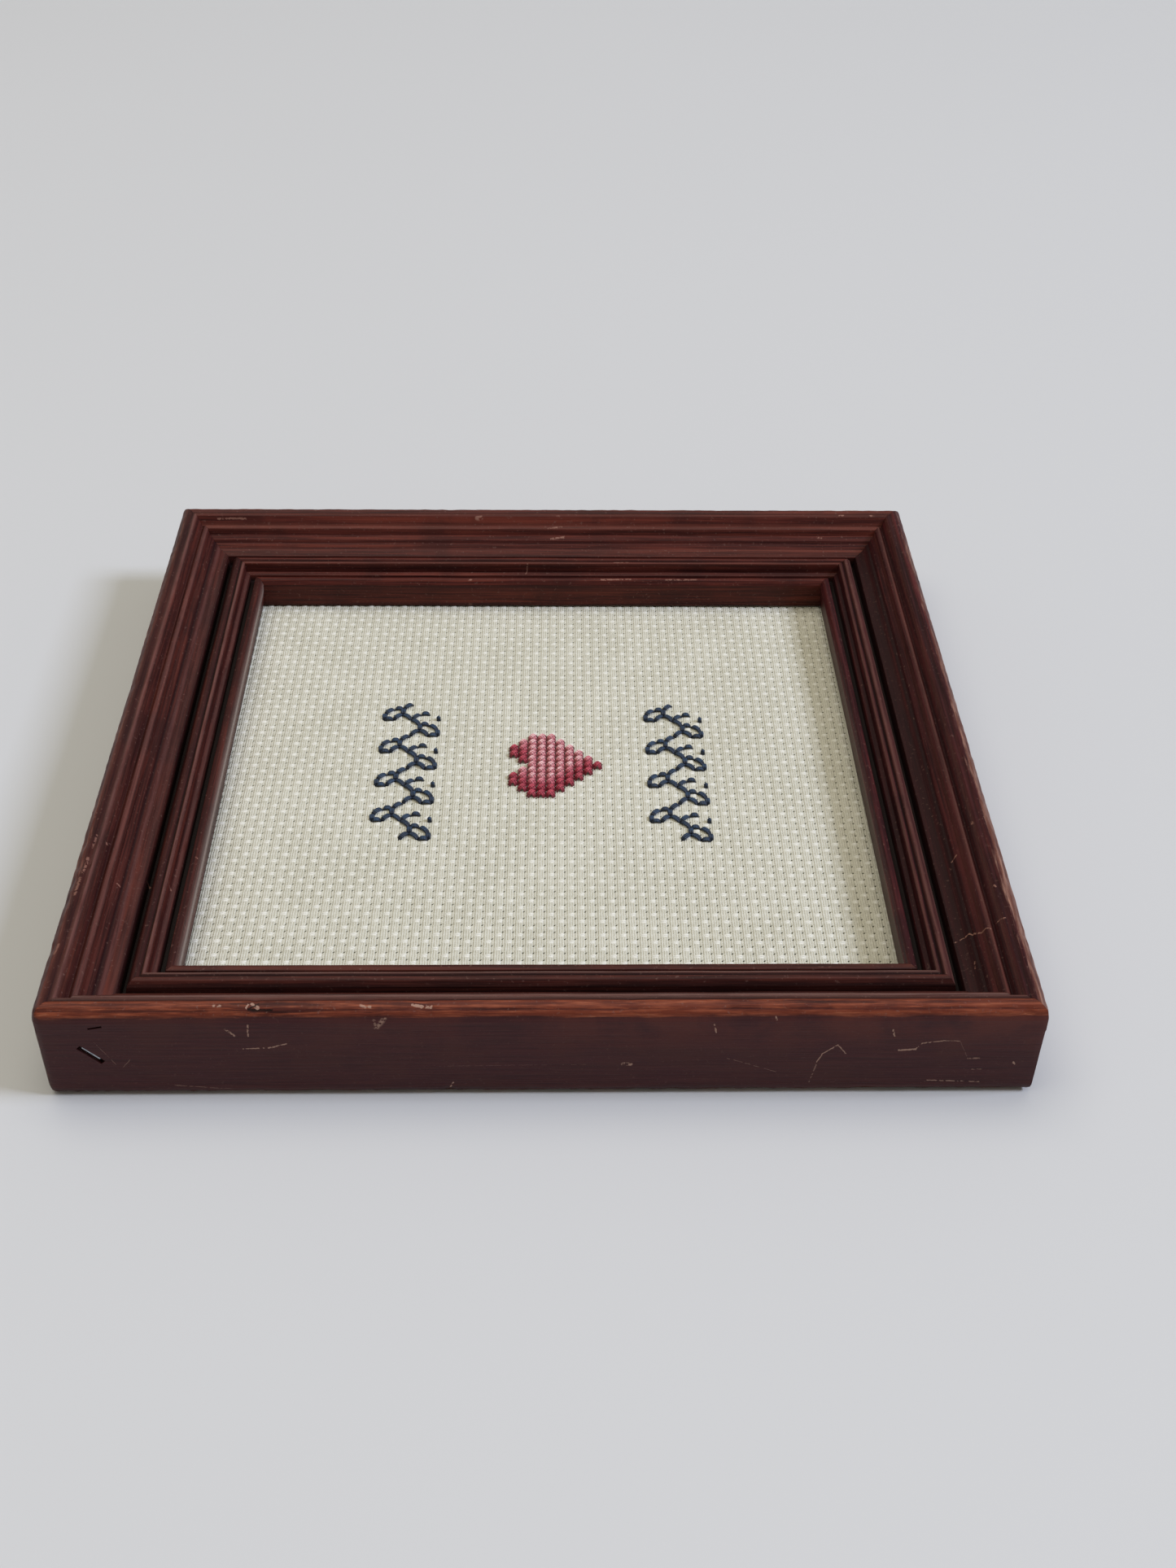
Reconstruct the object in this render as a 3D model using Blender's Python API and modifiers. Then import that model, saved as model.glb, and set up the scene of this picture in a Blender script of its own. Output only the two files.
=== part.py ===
"""A framed cross stitch, lying on its back.

Four mitred rails of one moulding hold a square of even-weave cloth under their
inner lip, with a plain board behind it. +Z points out of the picture, +Y to its
far edge, and the origin is the middle of the frame's back.
"""
import math

import bmesh
import bpy
from mathutils import Matrix, Vector

# Driving dimensions, in metres
FRAME_HALF = 0.0800
SIGHT_HALF = 0.0611
CLOTH_FACE = 0.0049
CLEARANCE = 0.0003

CLOTH_SIDE = 0.1252
CLOTH_TURN = math.radians(-0.5)
CLOTH_THICKNESS = 0.0012
BOARD_SIDE = 0.1270
BOARD_THICKNESS = 0.0024
SHEET_BEVEL = 0.0003

REBATE_WIDTH = 0.0028
BACK_ROUNDING = 0.0018

# The staple: a length of wire across the joint, driven in at a slant
STAPLE_CENTRE_X = -0.0717
STAPLE_CENTRE_Z = 0.0095
STAPLE_SLANT = math.radians(-45)
STAPLE_LENGTH = 0.0049
STAPLE_WIRE_RADIUS = 0.00042
STAPLE_LEG = 0.0016
STAPLE_SUNK = 0.0006
SLOT_MARGIN = 0.0003

# Moulding, from the sight edge outwards.
# member, out from the sight edge, up from the cloth's face, corner radius
MOULDING = (
    ("lip foot", 0.0000, CLEARANCE, 0.0000),
    ("lip inner edge", -0.0005, 0.0057, 0.0004),
    ("lip crown", 0.0002, 0.0069, 0.0005),
    ("lip outer edge", 0.0013, 0.0066, 0.0002),
    ("quirk floor, inner", 0.0016, 0.0049, 0.0001),
    ("quirk floor, outer", 0.0025, 0.0049, 0.0001),
    ("ledge, inner", 0.0028, 0.0062, 0.0002),
    ("ledge, outer", 0.0036, 0.0065, 0.0001),
    ("fillet, inner", 0.0038, 0.0086, 0.0002),
    ("fillet, outer", 0.0043, 0.0088, 0.0002),
    ("bead quirk", 0.0047, 0.0083, 0.0001),
    ("bead, crown inner", 0.0051, 0.0090, 0.0004),
    ("bead, crown outer", 0.0059, 0.0088, 0.0005),
    ("bead, outer", 0.0066, 0.0078, 0.0005),
    ("groove floor, inner", 0.0070, 0.0056, 0.0001),
    ("groove floor, outer", 0.0077, 0.0056, 0.0001),
    ("cove edge", 0.0080, 0.0079, 0.0002),
    ("cove floor", 0.0099, 0.0085, 0.0008),
    ("step, inner", 0.0107, 0.0094, 0.0003),
    ("step quirk", 0.0111, 0.0094, 0.0001),
    ("slope, inner", 0.0114, 0.0100, 0.0003),
    ("slope, outer", 0.0123, 0.0108, 0.0003),
    ("ridge, inner", 0.0127, 0.0121, 0.0004),
    ("ridge, outer", 0.0134, 0.0125, 0.0003),
    ("ridge quirk", 0.0141, 0.0119, 0.0002),
    ("nose, inner", 0.0152, 0.0139, 0.0003),
    ("nose fillet", 0.0156, 0.0142, 0.0001),
    ("nose dip", 0.0161, 0.0141, 0.0002),
    ("nose, crown inner", 0.0168, 0.01446, 0.0005),
    ("nose, crown outer", 0.0177, 0.0142, 0.0010),
    ("nose, shoulder", 0.0186, 0.0134, 0.0010),
    ("nose, outer", FRAME_HALF - SIGHT_HALF, 0.0118, 0.0010),
)
FACE_TAPER = 0.0005
ARC_STEPS = 3
BACK_ARC_STEPS = 5

# Finishes: colour, roughness, metallic
WOOD = ("dark stained wood", (0.085, 0.022, 0.018), 0.45, 0.0)
CLOTH = ("ivory even-weave", (0.70, 0.66, 0.56), 0.90, 0.0)
BOARD = ("plain card board", (0.36, 0.27, 0.18), 0.85, 0.0)
STEEL = ("staple steel", (0.20, 0.21, 0.23), 0.38, 1.0)


def remove_everything():
    for item in list(bpy.data.objects):
        bpy.data.objects.remove(item, do_unlink=True)


def new_collection(name):
    collection = bpy.data.collections.new(name)
    bpy.context.scene.collection.children.link(collection)
    return collection


def new_material(finish):
    name, colour, roughness, metallic = finish
    material = bpy.data.materials.new(name)
    material.use_nodes = True
    shader = material.node_tree.nodes["Principled BSDF"]
    shader.inputs["Base Color"].default_value = (*colour, 1.0)
    shader.inputs["Roughness"].default_value = roughness
    shader.inputs["Metallic"].default_value = metallic
    material.diffuse_color = (*colour, 1.0)
    return material


def rounded_corner(before, corner, after, radius, steps):
    """The points of an arc that is tangent to both sides of a corner."""
    if radius <= 0.0:
        return [corner]
    to_before = before - corner
    to_after = after - corner
    half_angle = to_before.angle(to_after) / 2
    tangent = radius / math.tan(half_angle)
    longest = 0.45 * min(to_before.length, to_after.length)
    if tangent > longest:
        tangent = longest
        radius = tangent * math.tan(half_angle)
    bisector = (to_before.normalized() + to_after.normalized()).normalized()
    centre = corner + bisector * radius / math.sin(half_angle)
    start = corner + to_before.normalized() * tangent - centre
    end = corner + to_after.normalized() * tangent - centre
    turn = start.angle_signed(end)
    arc = []
    for step in range(steps + 1):
        angle = -turn * step / steps
        arc.append(centre + Matrix.Rotation(angle, 2) @ start)
    return arc


def moulding_outline():
    """The moulding's section: x is the distance from the picture's centre, y the height."""
    corners = []
    for _member, out, up, radius in MOULDING:
        corners.append((Vector((SIGHT_HALF + out, CLOTH_FACE + up)), radius, ARC_STEPS))
    rebate = SIGHT_HALF + REBATE_WIDTH
    corners.append((Vector((FRAME_HALF - FACE_TAPER, 0.0)), BACK_ROUNDING, BACK_ARC_STEPS))
    corners.append((Vector((rebate, 0.0)), 0.0, 1))
    corners.append((Vector((rebate, CLOTH_FACE + CLEARANCE)), 0.0, 1))
    outline = []
    count = len(corners)
    for index, (corner, radius, steps) in enumerate(corners):
        before = corners[index - 1][0]
        after = corners[(index + 1) % count][0]
        outline.extend(rounded_corner(before, corner, after, radius, steps))
    return outline


def mesh_from_curve(curve_object):
    """A closed mesh of a curve object, which is removed."""
    bpy.context.view_layer.update()
    graph = bpy.context.evaluated_depsgraph_get()
    mesh = bpy.data.meshes.new_from_object(curve_object.evaluated_get(graph))
    shape = bmesh.new()
    shape.from_mesh(mesh)
    bmesh.ops.remove_doubles(shape, verts=shape.verts, dist=1e-6)
    bmesh.ops.recalc_face_normals(shape, faces=shape.faces)
    shape.to_mesh(mesh)
    shape.free()
    bpy.data.objects.remove(curve_object, do_unlink=True)
    return mesh


def rail_mesh():
    """The near rail: the section drawn flat, drawn out along X and mitred."""
    curve = bpy.data.curves.new("rail section", "CURVE")
    curve.dimensions = "2D"
    curve.fill_mode = "BOTH"
    curve.extrude = FRAME_HALF
    spline = curve.splines.new("POLY")
    outline = moulding_outline()
    spline.points.add(len(outline) - 1)
    for point, place in zip(spline.points, outline):
        point.co = (place.x, place.y, 0.0, 1.0)
    spline.use_cyclic_u = True
    section = bpy.data.objects.new("rail section", curve)
    bpy.context.scene.collection.objects.link(section)
    mesh = mesh_from_curve(section)
    # The section lies with its outside to -Y and its top to +Z, and the draw turns to -X.
    for vertex in mesh.vertices:
        out, up, along = vertex.co
        end = (out - CLEARANCE / 2) * (1.0 if along > 0.0 else -1.0)
        vertex.co = (-end, -out, up)
    mesh.update()
    return mesh


def add_rails(collection, material):
    """Four rails share one mesh, each a quarter turn on from the last."""
    mesh = rail_mesh()
    mesh.materials.append(material)
    rails = {}
    for quarter, name in enumerate(("rail_near", "rail_right", "rail_far", "rail_left")):
        rail = bpy.data.objects.new(name, mesh)
        rail.rotation_euler.z = quarter * math.pi / 2
        collection.objects.link(rail)
        rails[name] = rail
    return rails


def add_sheet(name, side, thickness, top, collection, material):
    """A flat square sheet with slightly rounded arrises."""
    bpy.ops.mesh.primitive_cube_add(size=1.0)
    sheet = bpy.context.active_object
    sheet.name = name
    for vertex in sheet.data.vertices:
        vertex.co = Vector((vertex.co.x * side, vertex.co.y * side, vertex.co.z * thickness))
    sheet.location.z = top - thickness / 2
    sheet.data.materials.append(material)
    edge = sheet.modifiers.new("arris", "BEVEL")
    edge.width = SHEET_BEVEL
    edge.segments = 2
    for holder in list(sheet.users_collection):
        holder.objects.unlink(sheet)
    collection.objects.link(sheet)
    return sheet


def staple_place(along, depth):
    """A point along the staple's crown, at a depth behind the rail's outer face."""
    x = STAPLE_CENTRE_X + along * math.cos(STAPLE_SLANT)
    z = STAPLE_CENTRE_Z + along * math.sin(STAPLE_SLANT)
    return Vector((x, -FRAME_HALF + depth, z))


def add_staple(collection, material):
    """Bent wire: a crown just below the wood's surface, with its two short legs."""
    crown = STAPLE_SUNK + STAPLE_WIRE_RADIUS
    reach = STAPLE_LENGTH / 2 - STAPLE_WIRE_RADIUS
    bend = STAPLE_WIRE_RADIUS
    route = (
        staple_place(-reach, crown + STAPLE_LEG),
        staple_place(-reach, crown + bend),
        staple_place(-reach + bend, crown),
        staple_place(reach - bend, crown),
        staple_place(reach, crown + bend),
        staple_place(reach, crown + STAPLE_LEG),
    )
    curve = bpy.data.curves.new("corner_staple", "CURVE")
    curve.dimensions = "3D"
    curve.bevel_depth = STAPLE_WIRE_RADIUS
    curve.bevel_resolution = 2
    curve.use_fill_caps = True
    spline = curve.splines.new("POLY")
    spline.points.add(len(route) - 1)
    for point, place in zip(spline.points, route):
        point.co = (*place, 1.0)
    wire = bpy.data.objects.new("corner_staple wire", curve)
    bpy.context.scene.collection.objects.link(wire)
    mesh = mesh_from_curve(wire)
    mesh.materials.append(material)
    staple = bpy.data.objects.new("corner_staple", mesh)
    collection.objects.link(staple)


def cut_staple_slot(rail, cutters):
    """The narrow slot that the staple has pressed into the near rail."""
    width = 2 * (STAPLE_WIRE_RADIUS + SLOT_MARGIN)
    length = STAPLE_LENGTH + 2 * SLOT_MARGIN
    depth = STAPLE_SUNK + STAPLE_WIRE_RADIUS + STAPLE_LEG + SLOT_MARGIN
    bpy.ops.mesh.primitive_cube_add(size=1.0)
    cutter = bpy.context.active_object
    cutter.name = "staple slot"
    for vertex in cutter.data.vertices:
        vertex.co = Vector((vertex.co.x * length, vertex.co.y * 2 * depth, vertex.co.z * width))
    cutter.location = staple_place(0.0, 0.0)
    cutter.rotation_euler.y = -STAPLE_SLANT
    cutter.hide_render = True
    cutter.display_type = "WIRE"
    for holder in list(cutter.users_collection):
        holder.objects.unlink(cutter)
    cutters.objects.link(cutter)
    rail.data = rail.data.copy()
    slot = rail.modifiers.new("staple slot", "BOOLEAN")
    slot.operation = "DIFFERENCE"
    slot.object = cutter


def build():
    remove_everything()
    collection = new_collection("framed cross stitch")
    cutters = new_collection("cutters")
    rails = add_rails(collection, new_material(WOOD))
    cut_staple_slot(rails["rail_near"], cutters)
    add_staple(collection, new_material(STEEL))
    cloth = add_sheet("stitched_cloth", CLOTH_SIDE, CLOTH_THICKNESS, CLOTH_FACE,
                      collection, new_material(CLOTH))
    cloth.rotation_euler.z = CLOTH_TURN
    board_top = CLOTH_FACE - CLOTH_THICKNESS - CLEARANCE
    add_sheet("backing_board", BOARD_SIDE, BOARD_THICKNESS, board_top,
              collection, new_material(BOARD))


build()
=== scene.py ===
"""The looks of a framed cross stitch that lies on its back on a pale floor.

Four weathered rails of dark stained moulding hold a square of ivory even-weave cloth.
A cross-stitched heart and two backstitched vines are worked on it. Metres, +Z out of the
picture, +Y to its far edge, and the origin is the middle of the frame's back.
"""

import math
import random

import bmesh
import bpy
import numpy as np
from mathutils import Matrix, Vector, noise


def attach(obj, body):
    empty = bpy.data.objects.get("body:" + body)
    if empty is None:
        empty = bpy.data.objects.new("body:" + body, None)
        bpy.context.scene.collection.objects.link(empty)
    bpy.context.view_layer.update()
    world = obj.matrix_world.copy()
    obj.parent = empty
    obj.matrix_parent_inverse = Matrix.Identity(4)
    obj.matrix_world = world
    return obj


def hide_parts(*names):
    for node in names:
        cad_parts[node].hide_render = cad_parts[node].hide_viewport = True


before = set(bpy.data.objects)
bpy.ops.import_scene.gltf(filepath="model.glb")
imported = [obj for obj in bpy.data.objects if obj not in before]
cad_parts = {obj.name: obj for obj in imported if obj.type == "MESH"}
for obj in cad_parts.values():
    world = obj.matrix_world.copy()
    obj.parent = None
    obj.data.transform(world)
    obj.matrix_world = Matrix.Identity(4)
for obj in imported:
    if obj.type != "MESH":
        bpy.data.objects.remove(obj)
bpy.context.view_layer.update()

MM = 0.001

# The frame's driving sizes
FRAME_HALF = 80.0 * MM
SIGHT_HALF = 61.1 * MM
CLOTH_FACE = 4.9 * MM
REBATE_WIDTH = 2.8 * MM
BACK_ROUNDING = 1.8 * MM
FACE_TAPER = 0.5 * MM
LIP_CLEARANCE = 0.3 * MM
MITRE_GAP = 0.05 * MM

# Moulding, from the sight edge outwards.
# member: out from the sight edge, up from the cloth's face, corner radius, in millimetres
MOULDING = {
    "lip foot": (0.0, 0.3, 0.0),
    "lip inner edge": (-0.5, 5.7, 0.4),
    "lip crown": (0.2, 6.9, 0.5),
    "lip outer edge": (1.3, 6.6, 0.2),
    "quirk floor inner": (1.6, 4.9, 0.1),
    "quirk floor outer": (2.5, 4.9, 0.1),
    "ledge inner": (2.8, 6.2, 0.2),
    "ledge outer": (3.6, 6.5, 0.1),
    "fillet inner": (3.8, 8.6, 0.2),
    "fillet outer": (4.3, 8.8, 0.2),
    "bead quirk": (4.7, 8.3, 0.1),
    "bead crown inner": (5.1, 9.0, 0.4),
    "bead crown outer": (5.9, 8.8, 0.5),
    "bead outer": (6.6, 7.8, 0.5),
    "groove floor inner": (7.0, 5.6, 0.1),
    "groove floor outer": (7.7, 5.6, 0.1),
    "cove edge": (8.0, 7.9, 0.2),
    "cove floor": (9.9, 8.5, 0.8),
    "step inner": (10.7, 9.4, 0.3),
    "step quirk": (11.1, 9.4, 0.1),
    "slope inner": (11.4, 10.0, 0.3),
    "slope outer": (12.3, 10.8, 0.3),
    "ridge inner": (12.7, 12.1, 0.4),
    "ridge outer": (13.4, 12.5, 0.3),
    "ridge quirk": (14.1, 11.9, 0.2),
    "nose inner": (15.2, 13.9, 0.3),
    "nose fillet": (15.6, 14.2, 0.1),
    "nose dip": (16.1, 14.1, 0.2),
    "nose crown inner": (16.8, 14.46, 0.5),
    "nose crown outer": (17.7, 14.2, 1.0),
    "nose shoulder": (18.6, 13.4, 1.0),
    "nose outer": (18.9, 11.8, 1.0),
}
# How finely the section is divided, and the rail along its length
ARC_STEPS = 4
LONGEST_STEP = 0.9 * MM
FINE_STEP = 0.45 * MM
MOULDED_FROM = 10.0 * MM
RAIL_CUTS = (11, 19)
# Faces that meet at less than this many degrees are shaded smooth
RAIL_SMOOTH = 38.0
CLOTH_SMOOTH = 80.0
THREAD_SMOOTH = 60.0

# Worn and grimy members: how far the wear reaches in the section, and how strong it is
WORN_MEMBERS = {
    "nose shoulder": (0.95 * MM, 1.0),
    "nose crown outer": (0.80 * MM, 0.9),
    "nose crown inner": (0.40 * MM, 0.45),
    "lip crown": (0.25 * MM, 0.30),
}
# Bands of each rail painted lighter or darker as light falls on its members, painted highlights and
# painted shade, and a painted highlight on the left lip: (out, up, reach, strength), in millimetres
PAINTED_HIGHLIGHT_BANDS = {
    "near": ((4.0, 8.65, 0.35, 1.0), (13.4, 12.45, 0.35, 1.0), (15.5, 14.1, 0.35, 0.5)),
    "right": ((4.0, 8.65, 0.30, 0.6), (5.4, 8.95, 0.45, 0.7), (6.6, 7.8, 1.00, 1.0),
              (12.4, 11.3, 0.50, 0.4), (13.45, 12.45, 0.35, 0.7), (15.1, 13.6, 0.35, 0.4)),
    "far": ((4.0, 8.65, 0.30, 0.7), (9.6, 8.4, 0.80, 0.2), (13.0, 12.3, 0.50, 0.6),
            (14.2, 12.2, 0.40, 0.8), (15.6, 14.15, 0.40, 0.6)),
    "left": ((3.1, 6.35, 0.35, 0.5), (4.3, 8.80, 0.50, 1.0), (8.8, 8.15, 0.50, 0.3),
             (10.2, 8.85, 0.45, 0.6), (12.95, 12.2, 0.45, 0.6), (15.6, 14.15, 0.45, 0.9),
             (17.7, 14.1, 0.60, 0.4)),
}
PAINTED_SHADE_BANDS = {
    "near": ((4.6, 8.4, 0.40, 0.7), (12.7, 12.0, 0.40, 0.8), (14.1, 11.9, 0.60, 0.6)),
    "right": ((3.5, 6.4, 0.60, 0.8), (8.0, 7.6, 0.60, 0.8), (9.3, 8.35, 1.20, 0.8), (10.8, 9.4, 0.65, 1.0),
              (12.2, 10.8, 0.40, 0.2), (14.2, 12.1, 0.50, 0.8), (15.8, 14.2, 0.40, 0.4)),
    "far": ((3.6, 7.2, 0.70, 0.4), (6.3, 8.3, 0.60, 0.2), (11.1, 9.6, 0.60, 0.3)),
    "left": ((0.75, 6.80, 0.45, 0.6), (5.4, 8.9, 0.70, 0.6), (6.3, 8.2, 0.60, 0.8), (8.1, 7.9, 0.35, 0.5),
             (11.1, 9.5, 0.50, 1.0), (14.2, 12.2, 0.50, 0.5), (16.6, 14.35, 0.45, 0.6)),
}
# The left lip's inner face, turned to the window, is painted pale: a painted highlight.
LIP_HIGHLIGHT_BANDS = {
    "near": (),
    "right": (),
    "far": (),
    "left": ((-0.5, 4.7, 1.00, 1.0),),
}
# Each rail's stain beside the near rail's, lighter or darker as light falls on that rail, painted light
# and shade: shares of red, green and blue
RAIL_LIT_TONES = {
    "near": (1.0, 1.0, 1.0),
    "right": (0.84, 0.72, 1.15),
    "far": (1.35, 1.25, 1.25),
    "left": (1.0, 1.0, 1.05),
}
# Each rail's colours, set by side as light falls on it: its painted highlight bands, its worn wood from
# deep to pale, and its scratches. The wear and scratches are real; how they differ between rails is partly
# painted light
RAIL_COLOURS_AS_LIT = {
    "near": ((0.180, 0.092, 0.076), (0.140, 0.0290, 0.0145),
             (0.270, 0.0680, 0.0310), (0.42, 0.255, 0.190)),
    "right": ((0.150, 0.062, 0.048), (0.120, 0.0420, 0.0285),
              (0.275, 0.1450, 0.1080), (0.31, 0.155, 0.115)),
    "far": ((0.135, 0.037, 0.0245), (0.090, 0.0230, 0.0140),
            (0.200, 0.0680, 0.0400), (0.31, 0.155, 0.115)),
    "left": ((0.165, 0.070, 0.060), (0.110, 0.0340, 0.0230),
             (0.220, 0.0950, 0.0700), (0.25, 0.115, 0.085)),
}

# Hollows darkened with grime and with painted shade: how far the darkening reaches in the section, and how
# strong it is
GRIMY_SHADED_MEMBERS = {
    "quirk floor inner": (1.2 * MM, 1.0),
    "quirk floor outer": (0.95 * MM, 1.0),
    "groove floor inner": (1.9 * MM, 1.0),
    "groove floor outer": (2.1 * MM, 1.0),
    "bead outer": (0.7 * MM, 0.6),
    "bead quirk": (0.40 * MM, 0.9),
    "nose dip": (0.35 * MM, 0.45),
    "lip foot": (0.6 * MM, 0.3),
}
# On the right rail the bead's outer flank is turned to the window, so it gets no painted shade, and the
# groove floor gets less.
GRIMY_SHADED_RIGHT = {
    **GRIMY_SHADED_MEMBERS,
    "groove floor inner": (0.7 * MM, 1.0),
    "bead outer": (0.1 * MM, 0.0),
}

# How round the rails' outer corners are rubbed: at each rail's -X and +X end, before it is turned
NEAR_LEFT_ROUNDING = 1.6 * MM
OTHER_ROUNDING = 0.6 * MM
CORNER_ROUNDINGS = {
    "near": (NEAR_LEFT_ROUNDING, OTHER_ROUNDING),
    "right": (OTHER_ROUNDING, OTHER_ROUNDING),
    "far": (OTHER_ROUNDING, OTHER_ROUNDING),
    "left": (OTHER_ROUNDING, NEAR_LEFT_ROUNDING),
}
# The share of the rounding that is there already where a corner starts to turn
ROUNDING_EASE = 0.35
# How far a quarter circle's middle lies inside its square corner, as a share of the radius
ARC_INSET = 0.293

# The outer face's stain: how deep the face reaches, its top, and how it fades there
FACE_DEPTH = 0.75 * MM
FACE_EDGE_FADE = 0.4 * MM
FACE_TOP = 18.1 * MM
FACE_TOP_FADE = 0.8 * MM

# The foot of the outer face: how far in it reaches, and the reach and strength of its wear
FOOT_WIDTH = 2.0 * MM
RUBBED_FOOT = (0.9 * MM, 0.78)
WORN_NEAR = {"nose crown inner": (0.85 * MM, 0.75)}

# Uneven sanding: size of the lumps, how deep they are, and their scale along the rail
RIPPLE = (3.0 * MM, 0.045 * MM, 0.25)
NIBBLE = (1.0 * MM, 0.08 * MM, 0.6)
FOOT_NIBBLE = (1.6 * MM, 0.42 * MM, 0.5)
FOOT_NIBBLE_REACH = 1.2 * MM
# How near the mitres and the back the surface stays as it is
MITRE_GUARD = 1.0 * MM
BACK_GUARD = 0.2 * MM

# How much each rail is rubbed along its length: (place in mm on the rail, share)
RUBBED_ALONG = {
    "near": ((-80, 0.75), (-50, 0.75), (-30, 0.8), (0, 0.95), (30, 0.95), (80, 1.05)),
    "right": ((-80, 1.1), (-45, 1.05), (0, 1.0), (80, 0.8)),
    "far": ((-80, 0.75), (80, 0.75)),
    "left": ((-80, 0.5), (20, 0.6), (50, 0.8), (80, 0.5)),
}

# Dents along the nose: place on the rail, height, length and depth, in millimetres
DENTS = {
    "near": ((-45.0, 18.9, 1.6, 0.22), (-43.2, 18.6, 2.2, 0.12), (-19.0, 18.9, 2.8, 0.16),
             (-27.5, 18.9, 2.0, 0.10), (14.0, 18.6, 1.8, 0.09), (76.5, 18.0, 1.5, 0.25),
             (-15.0, 0.6, 1.6, 0.30), (52.0, 0.5, 3.0, 0.22), (-36.0, 0.4, 4.0, 0.18),
             (30.0, 0.4, 2.6, 0.20)),
    "right": ((-62.0, 18.7, 2.0, 0.14), (-48.0, 18.7, 3.0, 0.10), (-12.0, 18.7, 2.2, 0.10)),
    "far": ((20.0, 18.7, 2.0, 0.12),),
    "left": ((38.0, 18.9, 4.0, 0.26), (44.0, 19.0, 3.0, 0.32), (48.0, 18.9, 4.0, 0.24),
             (53.0, 18.8, 3.0, 0.22), (65.0, 18.6, 2.4, 0.24), (-10.0, 18.7, 3.0, 0.12)),
}

# A dent's reach up and down, in millimetres, and how far in from the outer face dents go
DENT_REACH = 0.8
DENTED_WIDTH = 3.2 * MM

# The staple's slot and the slit above it, in the near rail's outer face
STAPLE_PLACE = (-71.62 * MM, 9.60 * MM)
STAPLE_SLANT = math.radians(-45.0)
STAPLE_SLOT = (4.95 * MM, 5.2 * MM, 1.02 * MM)
SLIT_PLACE = (-70.1 * MM, 15.75 * MM)
SLIT_SLANT = math.radians(12.0)
SLIT_SLOT = (2.3 * MM, 1.6 * MM, 0.38 * MM)
# Where the walls of both slots lie, behind the near rail's face
SLOTTED_DEPTH = 4.0 * MM
SLOTTED_HEIGHTS = (1.9 * MM, 16.6 * MM)
SLOTTED_HALF = 74.5 * MM

# Marks on the outer face of the near rail: two places (x, z), width in mm, strength
FACE_SCRATCHES = (
    ((-49.8, 15.4), (-48.5, 13.9), 0.30, 0.9), ((-46.2, 16.3), (-46.4, 13.8), 0.26, 0.7),
    ((-47.4, 10.9), (-44.1, 11.1), 0.20, 0.8), ((-43.4, 11.1), (-40.5, 12.0), 0.26, 0.9),
    ((-26.1, 15.6), (-24.6, 17.9), 0.85, 0.5), ((-26.1, 15.6), (-26.5, 17.2), 0.60, 0.4),
    ((-70.7, 12.5), (-67.9, 7.4), 0.14, 0.35), ((-67.1, 6.5), (-65.1, 9.0), 0.16, 0.35),
    ((-15.3, 0.9), (-14.5, 2.8), 0.22, 0.9), ((55.4, 14.7), (55.8, 13.3), 0.24, 0.8),
    ((56.9, 10.0), (59.5, 10.2), 0.32, 0.9), ((59.5, 10.2), (60.4, 11.6), 0.22, 0.8),
    ((60.4, 11.6), (64.0, 12.2), 0.20, 0.9), ((64.0, 12.2), (66.4, 12.1), 0.14, 0.6),
    ((43.9, 7.3), (44.7, 9.3), 0.20, 0.6), ((44.7, 9.3), (47.0, 11.3), 0.20, 0.7),
    ((47.0, 11.3), (48.4, 9.3), 0.18, 0.6), ((43.1, 2.6), (43.9, 6.7), 0.26, 0.4),
    ((29.5, 8.3), (37.5, 5.1), 0.16, 0.35), ((66.4, 12.1), (68.2, 8.1), 0.16, 0.3),
    ((68.2, 8.1), (70.0, 8.1), 0.34, 0.45), ((67.7, 5.5), (70.7, 5.5), 0.26, 0.4),
    ((57.3, 0.9), (63.2, 1.1), 0.36, 0.7), ((62.3, 2.9), (70.8, 2.5), 0.18, 0.7),
    ((75.7, 7.1), (75.9, 6.7), 0.30, 0.9), ((27.0, 16.0), (27.4, 14.3), 0.22, 0.7),
    ((36.5, 18.0), (36.8, 17.0), 0.22, 0.7), ((-16.6, 6.7), (6.9, 7.0), 0.12, 0.3),
    ((12.7, 7.1), (14.0, 7.0), 0.55, 1.0), ((-59.2, 2.5), (-48.2, 1.3), 0.16, 0.4),
    ((-38.0, 1.0), (-31.5, 0.8), 0.45, 0.5), ((20.0, 0.9), (24.0, 0.8), 0.35, 0.4),
)
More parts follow.
